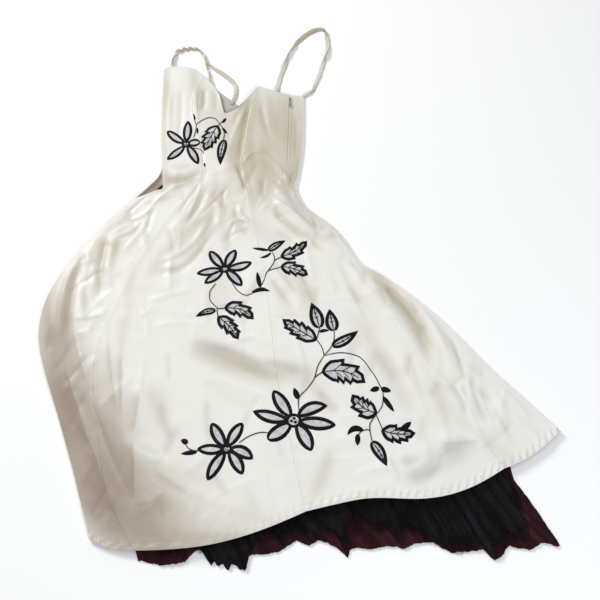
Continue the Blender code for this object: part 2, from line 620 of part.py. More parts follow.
def petal_outline(centre, tips):
    """A flower's outline: pointed petals on the tips, joined by a small round middle."""
    centre = np.asarray(centre)
    arms = np.asarray(tips) - centre
    lengths = np.linalg.norm(arms, axis=1)
    angles = np.arctan2(arms[:, 1], arms[:, 0])
    order = np.argsort(angles)
    outline = []
    for k, i in enumerate(order):
        before = order[k - 1]
        after = order[(k + 1) % len(order)]
        run = arms[i] / lengths[i]
        side = np.array((-run[1], run[0]))
        # Half the angle to the neighbour on each side, so that close petals are narrower there.
        room = {}
        for sign, j in ((-1, before), (1, after)):
            room[sign] = ((sign * (angles[j] - angles[i])) % (2 * math.pi)) / 2
        for share, part in PETAL_STATIONS:
            most = share * PETAL_ROOM * math.tan(min(room[1 if part > 0 else -1], 1.0))
            wide = min(abs(part) * PETAL_SHARE, most) * lengths[i]
            outline.append(centre + run * share * lengths[i] + side * math.copysign(wide, part) * (part != 0))
        heading = angles[i] + room[1]
        middle = PETAL_MIDDLE * lengths.mean()
        outline.append(centre + middle * np.array((math.cos(heading), math.sin(heading))))
    return outline


def leaf_outline(base, tip, share, toothed):
    """A pointed leaf. Teeth point to its tip."""
    base = np.asarray(base)
    run = np.asarray(tip) - base
    length = float(np.linalg.norm(run))
    run = run / length
    side = np.array((-run[1], run[0]))
    stations = TOOTHED_STATIONS if toothed else LEAF_STATIONS
    right = [base + run * length * a + side * length * share * w for a, w in stations]
    left = [base + run * length * a - side * length * share * w for a, w in stations]
    return [base] + left + [base + run * length] + right[::-1]


def appliques():
    """Organza pieces: the front's own surface moved out, cut to each flower and leaf."""
    t = SECTION_STEPS
    plans = [front_plan(0, u, t) for u in LEFT_SHARES[:-1]]
    plans += [front_plan(1, u, t) for u in CENTRE_SHARES[:-1]]
    plans += [front_plan(2, u, t) for u in RIGHT_SHARES]
    lower = [with_height(plan, top_height(plan, t) + GAP) for plan in plans]
    upper = [with_height(plan, top_height(plan, t) + GAP + ORGANZA) for plan in plans]
    skin = wall_mesh("applique_skin", upper, lower)
    shapes = [(name, petal_outline((x, y), tips)) for name, x, y, tips in FLOWERS]
    shapes += [(name, leaf_outline(row[:2], row[2:4], *row[4:])) for name, *row in LEAVES]
    for name, outline in shapes:
        piece = add_object(name, skin.copy(), "organza")
        cutter = mesh_object(
            name + "_shape", "organza", lambda mesh, o=outline: prism(mesh, o, CUTTER_FLOOR, CUTTER_TOP)
        )
        join(piece, cutter, "INTERSECT")


def main():
    for old in list(bpy.data.objects):
        bpy.data.objects.remove(old, do_unlink=True)
    bpy.context.scene.collection.children.link(collection)
    bpy.context.scene.collection.children.link(cutters)
    cutters.hide_render = True
    front_panels()
    back_panels()
    ribbon("strap_right", STRAP_RIGHT, STRAP_THICK, "satin")
    ribbon("strap_left", STRAP_LEFT, STRAP_THICK, "satin")
    ribbon("strap_keeper", KEEPER, KEEPER_THICK, "satin")
    tulle_layer("tulle_burgundy", TULLE_FLOOR, 0.0, 1.0)
    tulle_layer("tulle_black", TULLE_FLOOR + TULLE + GAP, BLACK_SHORTER, BLACK_DROP)
    zip_parts()
    appliques()


main()
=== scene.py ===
import math

import bpy
import numpy as np
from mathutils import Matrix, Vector


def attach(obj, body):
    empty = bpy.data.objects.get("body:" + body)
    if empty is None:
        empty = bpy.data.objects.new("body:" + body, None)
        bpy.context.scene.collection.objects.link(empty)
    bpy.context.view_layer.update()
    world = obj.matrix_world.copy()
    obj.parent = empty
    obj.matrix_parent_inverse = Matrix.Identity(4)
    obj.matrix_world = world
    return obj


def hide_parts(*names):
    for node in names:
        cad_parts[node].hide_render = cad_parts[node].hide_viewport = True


# A satin cocktail dress laid flat: princess-line panels, thin straps, a side zip, two layers of torn
# tulle under the hem, and sprays of organza flowers with black satin-stitch outlines.
# Metres: +x to the right as seen from above, +y from the hem to the neckline, +z up.
# A section number runs from 0 at the top edge to 13 at the hem.

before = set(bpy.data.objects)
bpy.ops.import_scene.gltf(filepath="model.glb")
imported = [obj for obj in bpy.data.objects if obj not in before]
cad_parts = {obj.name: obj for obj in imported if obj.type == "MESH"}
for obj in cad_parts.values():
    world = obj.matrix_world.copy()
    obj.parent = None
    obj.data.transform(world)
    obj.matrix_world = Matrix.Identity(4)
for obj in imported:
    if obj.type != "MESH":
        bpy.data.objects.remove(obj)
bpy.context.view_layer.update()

dressShape = {
    # plan position of the left edge, left princess seam, right princess seam, zip side seam, right edge
    "sections": np.array([
        ((-0.356, 0.556), (-0.243, 0.537), (-0.095, 0.499), (-0.008, 0.471), (0.029, 0.466)),
        ((-0.352, 0.439), (-0.267, 0.436), (-0.117, 0.416), (-0.010, 0.390), (0.029, 0.384)),
        ((-0.345, 0.326), (-0.242, 0.326), (-0.128, 0.311), (-0.012, 0.301), (0.026, 0.301)),
        ((-0.337, 0.234), (-0.229, 0.234), (-0.124, 0.228), (-0.014, 0.216), (0.016, 0.222)),
        ((-0.367, 0.182), (-0.245, 0.173), (-0.112, 0.173), (-0.003, 0.179), (0.010, 0.179)),
        ((-0.445, 0.097), (-0.289, 0.120), (-0.100, 0.100), (0.026, 0.126), (0.038, 0.123)),
        ((-0.523, -0.010), (-0.340, 0.022), (-0.083, 0.022), (0.100, 0.062), (0.112, 0.058)),
        ((-0.575, -0.113), (-0.376, -0.056), (-0.069, -0.056), (0.144, -0.010), (0.165, -0.028)),
        ((-0.584, -0.208), (-0.406, -0.136), (-0.056, -0.133), (0.189, -0.087), (0.218, -0.064)),
        ((-0.560, -0.294), (-0.434, -0.215), (-0.045, -0.215), (0.241, -0.173), (0.288, -0.120)),
        ((-0.511, -0.407), (-0.441, -0.310), (-0.033, -0.310), (0.311, -0.289), (0.368, -0.198)),
        ((-0.463, -0.523), (-0.418, -0.434), (-0.009, -0.423), (0.376, -0.365), (0.447, -0.291)),
        ((-0.431, -0.610), (-0.382, -0.570), (0.015, -0.539), (0.416, -0.457), (0.524, -0.372)),
        ((-0.412, -0.658), (-0.317, -0.679), (0.031, -0.604), (0.450, -0.516), (0.585, -0.436)),
    ]),
    "waist": 3, "hem": 13, "hemReach": 3.0,
    "bodiceEdge": 0.0028, "skirtEdge": 0.0045,  # outer radius of the fold along a side edge
    "bodiceDome": 0.0035, "skirtDome": 0.0090,  # rise of the middle above the edges
    "domeReach": 0.08, "hemDome": 0.4, "foldFade": 0.022,
    # neckline: rise of the left cup, then dip of the V below the line between its two peaks
    "neckArch": ((0, 0), (0.05, 0.009), (0.12, 0.0145), (0.2, 0.0170), (0.4, 0.0206), (0.6, 0.0206),
                 (0.8, 0.0168), (1, 0)),
    "neckDip": ((0, 0), (0.12, 0.014), (0.22, 0.034), (0.32, 0.055), (0.37, 0.088), (0.42, 0.114),
                (0.55, 0.100), (0.69, 0.077), (0.82, 0.047), (1, 0)),
    "backScoop": 0.080, "backScoopAt": 0.40, "backScoopHalf": 0.33,
    "hemBulges": (0.006, 0.022, 0.029, 0.010), "hemSkew": (1.0, 1.0, 1.8, 1.0), "backHemBulge": 0.030,
    "hemWave": (0.165, 0.085, 0.010),  # where the front hem is lifted a little: x, half width, rise
    "backSeamRight": 0.28, "backSeamLeft": 0.66, "sideSeamLeft": 0.93,  # shares of the width underneath
}
leftEdge, leftSeam, rightSeam, zipSeam, rightEdge = range(5)

# Folds and creases given one by one, each a bent line with a bell-shaped section.
# Columns: start x, y, middle x, y, end x, y, half width on its left and on its right, height, sharpness
# (2 is a soft bell, nearer 1 is a pressed crease). A trough has a negative height.
foldTable = np.array([
    (-0.504, 0.032, -0.533, -0.131, -0.518, -0.254, 0.02, 0.014, 0.005, 2),  # roll along the left edge
    (-0.487, 0.049, -0.515, -0.106, -0.502, -0.242, 0.009, 0.012, -0.004, 2),  # valley inside the roll
    (-0.474, 0.06, -0.492, -0.106, -0.47, -0.242, 0.01, 0.014, 0.0024, 2),  # soft ridge
    (-0.449, 0.054, -0.456, -0.033, -0.447, -0.131, 0.007, 0.009, -0.0032, 2),  # short trough
    (-0.427, 0.06, -0.434, -0.033, -0.424, -0.126, 0.008, 0.012, 0.0022, 2),  # ridge beside it
    (-0.527, -0.254, -0.458, -0.413, -0.333, -0.659, 0.004, 0.016, 0.003, 1.5),  # fold edge lower left
    (-0.46, -0.289, -0.404, -0.446, -0.332, -0.63, 0.004, 0.009, 0.002, 1.4),  # second crease
    (-0.493, -0.206, -0.457, -0.312, -0.422, -0.402, 0.005, 0.006, 0.0014, 1.5),  # third crease
    (-0.426, -0.193, -0.411, -0.289, -0.371, -0.435, 0.0032, 0.007, 0.0018, 1.3),  # pressed ridge
    (-0.393, -0.206, -0.384, -0.312, -0.369, -0.413, 0.0032, 0.007, 0.0017, 1.3),  # pressed ridge 2
    (-0.33, -0.242, -0.334, -0.369, -0.338, -0.467, 0.0032, 0.009, 0.0019, 1.3),  # pressed ridge 3
    (-0.339, -0.457, -0.336, -0.53, -0.324, -0.585, 0.003, 0.01, 0.0026, 1.3),  # flap edge
    (-0.33, -0.587, -0.297, -0.591, -0.256, -0.558, 0.0032, 0.009, -0.0022, 1.4),  # flap foot
    (-0.361, -0.129, -0.336, -0.176, -0.328, -0.235, 0.0028, 0.005, 0.0013, 1.3),  # small Y crease
    (-0.325, -0.139, -0.335, -0.161, -0.357, -0.171, 0.003, 0.005, 0.0009, 1.4),  # small Y crease arm
    (-0.354, 0.119, -0.302, 0.176, -0.229, 0.209, 0.0045, 0.008, 0.0034, 1.5),  # ridge across the left waist
    (-0.319, 0.206, -0.274, 0.203, -0.234, 0.224, 0.009, 0.011, -0.003, 2),  # shadow above it
    (-0.231, 0.2, -0.258, 0.15, -0.286, 0.093, 0.0035, 0.005, -0.0018, 1.5),  # crease fan 1
    (-0.228, 0.197, -0.24, 0.15, -0.265, 0.076, 0.004, 0.005, 0.0018, 1.6),  # crease fan 2
    (-0.217, 0.179, -0.236, 0.119, -0.269, 0.065, 0.007, 0.009, -0.0032, 2),  # crease fan 3 wide shadow
    (-0.413, 0.09, -0.367, 0.099, -0.34, 0.15, 0.004, 0.005, 0.0026, 1.6),  # S ripple ridge
    (-0.405, 0.104, -0.388, 0.13, -0.356, 0.162, 0.004, 0.005, -0.0026, 1.7),  # S ripple trough
    (-0.378, 0.156, -0.354, 0.17, -0.324, 0.17, 0.003, 0.004, 0.0016, 1.5),  # S ripple upper ridge
    (-0.437, 0.038, -0.39, 0.049, -0.359, 0.087, 0.006, 0.007, -0.002, 2),  # S ripple lower
    (-0.355, 0.038, -0.353, 0.079, -0.342, 0.119, 0.006, 0.006, -0.0022, 2),  # grey hollow
    (-0.408, -0.009, -0.375, 0.049, -0.35, 0.099, 0.006, 0.008, 0.0018, 2),  # step left of the seam
    (-0.145, 0.257, -0.128, 0.209, -0.114, 0.168, 0.009, 0.006, -0.004, 2),  # valley above the right waist
    (-0.175, 0.136, -0.14, 0.139, -0.106, 0.159, 0.0032, 0.005, 0.0017, 1.5),  # light ridge at the waist
    (-0.161, 0.046, -0.138, 0.085, -0.098, 0.068, 0.0035, 0.005, 0.0024, 1.6),  # arc 1
    (-0.151, 0.032, -0.127, 0.054, -0.098, 0.049, 0.003, 0.004, -0.0014, 1.6),  # arc 2
    (-0.135, 0.127, -0.124, 0.099, -0.099, 0.079, 0.0032, 0.005, 0.002, 1.5),  # arc 3
    (-0.149, 0.119, -0.128, 0.085, -0.111, 0.076, 0.004, 0.005, -0.002, 1.8),  # arc shade
    (-0.197, 0.124, -0.246, 0.013, -0.339, -0.033, 0.007, 0.01, 0.0026, 2),  # long soft fold from the waist
    (-0.197, 0.076, -0.244, -0.033, -0.332, -0.059, 0.009, 0.01, -0.003, 2),  # hollow under it
    (-0.308, 0.065, -0.291, 0.027, -0.288, -0.006, 0.0035, 0.004, -0.0016, 1.6),  # small crease
    (-0.279, 0.071, -0.271, 0.027, -0.279, -0.006, 0.0035, 0.004, 0.0012, 1.6),  # small crease 2
    (-0.34, -0.131, -0.296, -0.121, -0.225, -0.098, 0.006, 0.008, 0.0012, 2),  # flat ridge below
    (-0.325, -0.198, -0.245, -0.188, -0.178, -0.201, 0.004, 0.007, 0.001, 1.6),  # line across
    (-0.235, -0.235, -0.134, -0.27, -0.012, -0.34, 0.014, 0.016, -0.0034, 2),  # wide slanting hollow
    (-0.075, -0.289, -0.015, -0.291, 0.019, -0.314, 0.009, 0.009, -0.0018, 2),  # second hollow
    (-0.182, -0.305, -0.103, -0.342, -0.025, -0.365, 0.01, 0.012, 0.0016, 2),  # ridge under the hollow
    (-0.076, 0.168, 0.009, 0.099, 0.067, 0.032, 0.006, 0.014, 0.0042, 1.8),  # slanting fold from the waist
    (-0.056, 0.124, -0.001, 0.065, 0.048, 0.027, 0.008, 0.01, -0.0036, 2),  # hollow left of it
    (0.011, 0.179, 0.041, 0.121, 0.06, 0.071, 0.004, 0.006, 0.0022, 1.6),  # hip ridge
    (0.046, 0.102, 0.055, 0.079, 0.063, 0.06, 0.003, 0.003, -0.003, 1.6),  # small dark tuck
    (-0.043, -0.027, -0.019, -0.069, 0.019, -0.116, 0.005, 0.006, -0.0022, 2),  # dark diagonals 1
    (-0.057, -0.067, -0.028, -0.106, -0.004, -0.144, 0.004, 0.005, -0.0015, 1.8),  # dark diagonals 2
    (-0.005, -0.043, 0.023, -0.085, 0.061, -0.111, 0.006, 0.007, 0.0015, 2),  # soft ridge right of them
    (0.019, -0.139, 0.124, -0.123, 0.22, -0.111, 0.003, 0.009, 0.001, 1.3),  # pressed crease across
    (0.127, -0.001, 0.165, -0.08, 0.223, -0.144, 0.006, 0.009, 0.0014, 2),  # seam ridge right hip
    (0.194, -0.059, 0.273, -0.161, 0.326, -0.305, 0.009, 0.017, -0.0065, 2),  # deep valley by the side seam
    (0.245, -0.08, 0.322, -0.186, 0.36, -0.319, 0.012, 0.009, 0.0042, 2),  # ridge right of the valley
    (0.351, -0.193, 0.381, -0.289, 0.387, -0.413, 0.005, 0.008, -0.0022, 1.8),  # ripple 1
    (0.382, -0.277, 0.397, -0.358, 0.413, -0.413, 0.004, 0.006, 0.0016, 1.6),  # ripple 2
    (0.412, -0.335, 0.424, -0.391, 0.44, -0.439, 0.0035, 0.006, 0.0012, 1.5),  # ripple 3
    (0.442, -0.38, 0.461, -0.424, 0.484, -0.469, 0.004, 0.008, -0.0009, 1.8),  # ripple 4
    (0.355, -0.335, 0.374, -0.365, 0.383, -0.409, 0.006, 0.009, -0.0026, 2),  # valley below the seam bend
    (0.228, -0.471, 0.318, -0.457, 0.446, -0.463, 0.003, 0.01, 0.0013, 1.3),  # pressed crease lower right
    (0.334, -0.469, 0.297, -0.507, 0.237, -0.528, 0.009, 0.012, -0.003, 2),  # grey slanting hollow
    (0.199, -0.482, 0.21, -0.52, 0.223, -0.548, 0.004, 0.006, 0.0016, 1.6),  # crease from the low leaf
    (0.228, -0.54, 0.29, -0.554, 0.367, -0.528, 0.012, 0.014, 0.0018, 2),  # long soft ridge
    (0.123, -0.131, 0.209, -0.277, 0.277, -0.435, 0.018, 0.022, -0.0016, 2),  # soft hollow right of the vine
    (0.245, -0.242, 0.273, -0.335, 0.299, -0.435, 0.012, 0.014, 0.0018, 2),  # soft ridge by the vine
    (0.058, -0.342, 0.08, -0.374, 0.11, -0.4, 0.008, 0.009, -0.0022, 2),  # hollow by the knee flower
    (-0.062, -0.493, 0.061, -0.497, 0.188, -0.49, 0.003, 0.01, 0.0008, 1.3),  # crease across the hem zone
    (-0.279, -0.482, -0.229, -0.53, -0.173, -0.591, 0.003, 0.009, 0.0015, 1.4),  # diagonal crease low 1
    (-0.178, -0.587, -0.123, -0.556, -0.055, -0.532, 0.003, 0.008, 0.0012, 1.4),  # diagonal crease low 2
    (-0.297, -0.52, -0.248, -0.552, -0.209, -0.573, 0.007, 0.009, -0.0024, 2),  # hollow low
    (-0.288, -0.365, -0.271, -0.424, -0.246, -0.471, 0.009, 0.01, -0.002, 2),  # hollow low 2
    (-0.226, -0.577, -0.208, -0.6, -0.194, -0.624, 0.003, 0.005, 0.0011, 1.4),  # short low crease
    (-0.122, -0.581, -0.129, -0.612, -0.132, -0.64, 0.003, 0.005, 0.001, 1.4),  # low crease 3
    (-0.065, -0.36, -0.042, -0.435, -0.011, -0.52, 0.005, 0.009, 0.0012, 1.8),  # ridge beside the seam low
    (-0.332, 0.514, -0.325, 0.382, -0.318, 0.257, 0.009, 0.01, 0.0015, 2),  # bodice left soft ridge
    (-0.305, 0.507, -0.297, 0.398, -0.3, 0.287, 0.008, 0.008, -0.0013, 2),  # bodice left hollow
    (-0.258, 0.5, -0.257, 0.427, -0.243, 0.369, 0.0035, 0.009, 0.0024, 1.5),  # cup step fold
    (-0.245, 0.5, -0.237, 0.453, -0.245, 0.407, 0.008, 0.008, -0.003, 2),  # cup shade
    (-0.217, 0.487, -0.205, 0.453, -0.208, 0.407, 0.006, 0.007, -0.0012, 2),  # cup hollow 2
    (-0.234, 0.356, -0.233, 0.287, -0.227, 0.227, 0.005, 0.006, -0.0018, 1.8),  # left princess trough
    (-0.219, 0.218, -0.179, 0.233, -0.139, 0.257, 0.004, 0.007, 0.0014, 1.6),  # belly crease
    (-0.109, 0.467, -0.127, 0.356, -0.134, 0.257, 0.006, 0.009, -0.0034, 2),  # right princess tan fold
    (-0.124, 0.421, -0.153, 0.343, -0.161, 0.281, 0.006, 0.007, 0.0014, 2),  # right of it ridge
    (-0.082, 0.453, -0.076, 0.388, -0.054, 0.318, 0.007, 0.008, -0.0018, 2),  # cup right fold
    (-0.129, 0.242, -0.104, 0.284, -0.063, 0.284, 0.0035, 0.006, 0.0022, 1.6),  # right waist arc
    (-0.079, 0.281, -0.037, 0.242, 0.009, 0.173, 0.004, 0.008, 0.0026, 1.6),  # right waist arc 2
    (-0.009, 0.206, 0.001, 0.224, 0.016, 0.221, 0.0026, 0.004, 0.0016, 1.4),  # zip foot pucker
    (0.011, 0.407, 0.011, 0.334, 0.009, 0.257, 0.006, 0.007, -0.0014, 2),  # right edge hollow
    (-0.125, 0.447, -0.145, 0.407, -0.159, 0.362, 0.007, 0.008, -0.0018, 2),  # V neck right shade
    (-0.291, -0.539, -0.275, -0.548, -0.26, -0.56, 0.003, 0.006, 0.0016, 1.4),  # hem corner, upper side
    (-0.26, -0.56, -0.278, -0.575, -0.301, -0.591, 0.006, 0.003, 0.0016, 1.4),  # the same, lower side
    (-0.278, -0.575, -0.27, -0.593, -0.263, -0.611, 0.003, 0.006, 0.0014, 1.4),  # below the corner
    (-0.216, -0.557, -0.176, -0.577, -0.154, -0.596, 0.004, 0.008, 0.0014, 1.4),  # pressed square, upper side
    (-0.154, -0.596, -0.169, -0.611, -0.186, -0.628, 0.008, 0.004, 0.0012, 1.4),  # pressed square, right side
    (-0.23, -0.557, -0.2, -0.584, -0.224, -0.627, 0.007, 0.004, 0.0013, 1.4),  # pressed square, left side
    (-0.119, -0.616, -0.121, -0.625, -0.122, -0.639, 0.003, 0.004, 0.0013, 1.4),  # upright above the hem
    (-0.165, -0.524, -0.145, -0.551, -0.127, -0.575, 0.006, 0.01, -0.0016, 1.8),  # hollow under the flower
    (-0.062, -0.518, -0.048, -0.563, -0.033, -0.609, 0.006, 0.009, 0.0014, 1.8),  # ridge by the middle seam
    (0.128, -0.535, 0.171, -0.518, 0.227, -0.51, 0.007, 0.01, 0.0018, 1.8),  # ridge under the right leaves
    (0.228, -0.493, 0.274, -0.501, 0.34, -0.472, 0.01, 0.013, -0.003, 2),  # grey hollow right of them
    (0.202, -0.487, 0.214, -0.514, 0.229, -0.547, 0.005, 0.008, 0.0022, 1.6),  # ridge that closes it
    (-0.065, -0.355, -0.091, -0.4, -0.098, -0.437, 0.006, 0.009, -0.0014, 1.8),  # hollow left of the knees
    (-0.138, -0.202, -0.068, -0.231, 0.001, -0.25, 0.008, 0.012, 0.0016, 1.8),  # slanting ridge in the middle
    (-0.197, -0.245, -0.122, -0.265, -0.053, -0.302, 0.01, 0.012, -0.0022, 2),  # slanting hollow there
    (0.019, -0.044, 0.038, -0.101, 0.061, -0.157, 0.006, 0.009, -0.0018, 1.8),  # hollow below the hip spray
    (-0.141, 0.13, -0.148, 0.065, -0.17, 0.01, 0.007, 0.011, -0.0024, 2),  # hollow below the waist
    (-0.075, 0.105, -0.061, 0.127, -0.021, 0.127, 0.004, 0.007, 0.002, 1.5),  # arc below the waist
    (0.103, -0.028, 0.141, -0.127, 0.184, -0.216, 0.008, 0.012, 0.0018, 1.8),  # ridge down the right panel
])

clothLook = {
    "spacing": 0.0034,  # grid step of the front
    "foldScale": 1.2,  # all fold heights together
    "narrowest": 0.0048,  # least half width of a fold
    "thickness": 0.0007,
    "rim": (0.0, 0.0006, 0.0013, 0.0022, 0.0034),  # extra grid lines beside a seam or an edge
    "seamGap": 0.00006,
    "seamDepth": 0.0002, "zipDepth": 0.0008, "seamWidth": 0.0012,
    "allowance": 0.0005, "allowanceWidth": 0.007,  # seam allowances pressed to one side
    "puckerHeight": 0.00030, "puckerLength": 0.013,
    "waveHeight": 0.0011, "waveLength": 0.12,  # broad unevenness of the whole cloth
    "crumpleHeight": 0.00085, "crumpleLength": 0.030,
    # folds that radiate below the waist
    "fanFrom": (-0.17, 0.44), "fanHeight": 0.0019, "fanAngle": 0.055, "fanLength": 0.16,
    "drawHeight": 0.0008, "drawWidth": 0.019, "drawLength": 0.09,  # upright ones in the bodice
    "hemWidth": 0.0125, "hemRise": 0.0012, "hemPucker": 0.0017, "hemPitch": 0.0095, "hemLine": 0.0011,
}
# Painted shade: how dark a fold's trough is, how fast the tones build up, and how uneven a patch is
# along its run.
toneLook = {"trough": 0.55, "gain": 1.25, "streak": 0.45, "streakLength": 0.09, "edgeStep": 0.003}

# The left waist is bent under: inside the corner of these two lines the reverse side shows, lower down, in
# a mauve-brown darkened with painted shade.
waistTuck = {"top": (-0.3372, 0.2610), "corner": (-0.3257, 0.1802), "end": (-0.3812, 0.1539),
             "drop": 0.0042, "edge": 0.0022}

# Painted shade: soft darker patches where the cloth lies in a hollow or turns from the light.
# Columns: x, y, half length, half width, direction in degrees, strength, share of mauve-brown (below 0, the
# share of cool grey).
shadePatches = np.array([
    (-0.54, -0.25, 0.22, 0.045, 104, 0.7, 0.6),  # turned-under left edge
    (-0.438, -0.455, 0.204, 0.065, 120, 0.75, 0.95),  # lower left
    (-0.337, -0.609, 0.153, 0.057, 139, 0.55, 0.85),  # lower left corner
    (-0.205, -0.658, 0.163, 0.027, -3, 0.55, 0.35),  # above the left of the hem
    (-0.53, -0.127, 0.106, 0.017, 81, 0.45, 0.25),  # troughs of the left roll
    (-0.274, -0.569, 0.109, 0.039, 132, 0.38, 0.2),  # inside the lower left
    (-0.081, 0.351, 0.138, 0.078, 95, 0.82, 0),  # right cup
    (-0.002, 0.326, 0.169, 0.039, 94, 0.8, 0),  # zip side
    (-0.088, 0.227, 0.092, 0.036, 104, 0.7, 0),  # above the right waist
    (0.019, 0.203, 0.042, 0.03, 90, 0.55, 0),  # right waist
    (-0.129, 0.389, 0.148, 0.019, 82, 0.6, 0),  # right princess fold
    (-0.262, 0.495, 0.076, 0.022, 97, 0.45, 0),  # cup step
    (-0.206, 0.406, 0.1, 0.042, 97, 0.3, 0),  # left of the princess fold
    (-0.338, 0.422, 0.17, 0.011, 94, 0.45, 0),  # left edge of the bodice
    (-0.286, 0.215, 0.061, 0.027, 10, 0.55, 0.05),  # above the waist ridge
    (-0.35, 0.195, 0.03, 0.035, 95, 0.55, 0.15),  # beside the tuck
    (-0.146, 0.264, 0.068, 0.018, 111, 0.45, 0),  # valley above the waist
    (-0.2, 0.174, 0.051, 0.027, 23, 0.28, 0),  # belly
    (-0.215, 0.082, 0.082, 0.024, 66, 0.4, 0),  # waist hollow
    (-0.282, 0.015, 0.087, 0.021, 56, 0.36, 0),  # long hollow from the waist
    (-0.439, 0.032, 0.089, 0.029, 68, 0.42, 0),  # left hip
    (-0.074, 0.054, 0.08, 0.031, 132, 0.22, 0),  # right hip
    (-0.125, -0.288, 0.095, 0.023, -21, 0.5, 0.15),  # wide slanting hollow
    (-0.004, -0.302, 0.054, 0.022, -10, 0.42, 0.15),  # second hollow
    (0.244, -0.127, 0.122, 0.017, -57, 0.75, 0),  # valley beside the side seam
    (0.327, -0.375, 0.07, 0.013, -83, 0.22, 0),  # lower end of the valley
    (0.092, 0.074, 0.093, 0.032, -54, 0.25, 0),  # right hip edge
    (-0.181, -0.114, 0.05, 0.035, 64, 0.18, 0),  # below the hip flower
    (0.019, -0.088, 0.062, 0.022, 118, 0.28, 0),  # dark diagonals
    (-0.44, -0.044, 0.097, 0.013, 70, 0.3, 0),  # left hip trough
    (0.427, -0.467, 0.119, 0.02, -43, 0.16, 0),  # towards the right corner
    (-0.38, -0.127, 0.157, 0.014, 86, 0.2, 0),  # left seam
    (0.112, -0.589, 0.084, 0.012, 17, 0.14, 0),  # above the hem
    (-0.126, -0.609, 0.124, 0.024, -11, 0.22, 0),  # hem zone
    (-0.235, -0.528, 0.085, 0.037, -19, 0.2, 0),  # left of the hem flower
    (-0.444, 0.037, 0.06, 0.035, 60, 0.25, 0),  # upper left of the skirt
    (0.065, -0.53, 0.055, 0.016, 65, 0.3, 0.1),  # beside the lower end of the middle seam
    (0.059, -0.357, 0.045, 0.02, 120, 0.25, 0),  # left of the knee spray
    (0.024, 0.11, 0.06, 0.024, 122, 0.42, 0),  # right of the waist
    (-0.177, 0.105, 0.075, 0.02, 76, 0.36, 0),  # belly, below the left seam
    (-0.102, 0.156, 0.04, 0.035, 90, 0.25, 0),  # belly, middle
    (-0.293, -0.384, 0.05, 0.024, 110, 0.26, 0.15),  # left of the hem flower's vine
    (-0.232, -0.009, 0.035, 0.018, 10, 0.22, 0),  # left of the hip flower
    (-0.021, -0.127, 0.045, 0.014, 120, 0.25, 0.1),  # below the hip leaves
    (-0.267, 0.31, 0.03, 0.03, 90, 0.18, 0),  # among the bodice's flowers
    (-0.291, 0.215, 0.045, 0.024, 20, 0.3, 0.15),  # lower left of the bodice
    (-0.335, 0.455, 0.06, 0.014, 95, 0.25, 0),  # soft fold of the left cup
    (0.322, -0.494, 0.06, 0.02, 30, 1.05, -1),  # cool hollow at the lower right
    (0.276, -0.526, 0.034, 0.016, 24, 0.75, -1),  # its lower end
    (0.398, -0.371, 0.05, 0.018, -67, 0.5, -0.9),  # cool streak right of the side seam
    (-0.424, 0.054, 0.034, 0.011, 29, 0.6, -1),  # cool hollow at the left hip
    (-0.354, 0.037, 0.025, 0.008, 99, 0.6, -1),  # small one beside it
    (-0.482, -0.134, 0.069, 0.01, 106, 0.5, -1),  # long one down the left
    (-0.311, -0.474, 0.044, 0.015, -27, 0.55, -0.8),  # cool grey low on the left
    (-0.283, 0.239, 0.034, 0.02, 6, 0.6, -0.9),  # cool grey low in the bodice
    (-0.131, -0.362, 0.058, 0.015, -30, 0.22, -0.8),  # cool edge of the flat middle
])

# Painted shade that steps at a pressed crease, darker on one side of the line. Columns: start x, y, middle
# x, y, end x, y, width of the darker side, strength (positive: darker on the left of the run), and the share
# as above.
creaseShadeEdges = np.array([
    (-0.516, -0.272, -0.441, -0.443, -0.325, -0.671, 0.028, -0.81, 1),  # long light edge
    (-0.448, -0.347, -0.381, -0.492, -0.329, -0.577, 0.021, 0.61, 0.9),  # wedge beside it
    (-0.341, -0.448, -0.331, -0.521, -0.323, -0.586, 0.021, -0.74, 0.7),  # upright edge of the flap
    (-0.321, -0.591, -0.294, -0.594, -0.259, -0.559, 0.024, -0.61, 0.5),  # foot of the flap
    (-0.334, -0.341, -0.335, -0.398, -0.34, -0.448, 0.021, -0.47, 0.5),  # upper edge of the flap
    (-0.383, -0.256, -0.375, -0.331, -0.369, -0.418, 0.014, -0.38, 0.4),  # second pressed edge
    (-0.413, -0.223, -0.4, -0.31, -0.374, -0.413, 0.012, -0.3, 0.3),  # first pressed edge
    (-0.512, -0.126, -0.49, -0.234, -0.43, -0.367, 0.019, -0.41, 0.3),  # edge of the left roll
    (-0.512, -0.393, -0.471, -0.438, -0.42, -0.453, 0.016, -0.24, 0.5),  # slant across the left
    (-0.456, -0.54, -0.409, -0.549, -0.361, -0.591, 0.016, -0.24, 0.6),  # slant lower left
    (-0.277, -0.572, -0.263, -0.595, -0.254, -0.627, 0.014, -0.3, 0.2),  # short upright low
    (0.315, -0.464, 0.363, -0.459, 0.415, -0.456, 0.02, -0.42, -1),  # pressed edge above the cool hollow
])


def smooth(x):  # 0 below 0, 1 above 1, and a soft step between
    x = np.clip(x, 0.0, 1.0)
    return x * x * (3.0 - 2.0 * x)


def unit(v):
    return v / np.maximum(np.linalg.norm(v, axis=-1, keepdims=True), 1e-12)


def leftOf(run):  # directions turned a quarter to the left
    return np.stack([-run[..., 1], run[..., 0]], -1)


def distances(line):  # distance covered along a line of points
    return np.concatenate([[0], np.cumsum(np.linalg.norm(np.diff(line, axis=0), axis=1))])


def lifted(plan, z):  # plan points with their heights
    return np.concatenate([plan, np.broadcast_to(z, plan.shape[:-1])[..., None]], -1)


def paired(first, second, shape):  # two values at each point of a grid
    return np.stack([np.broadcast_to(v, shape) for v in (first, second)], -1)


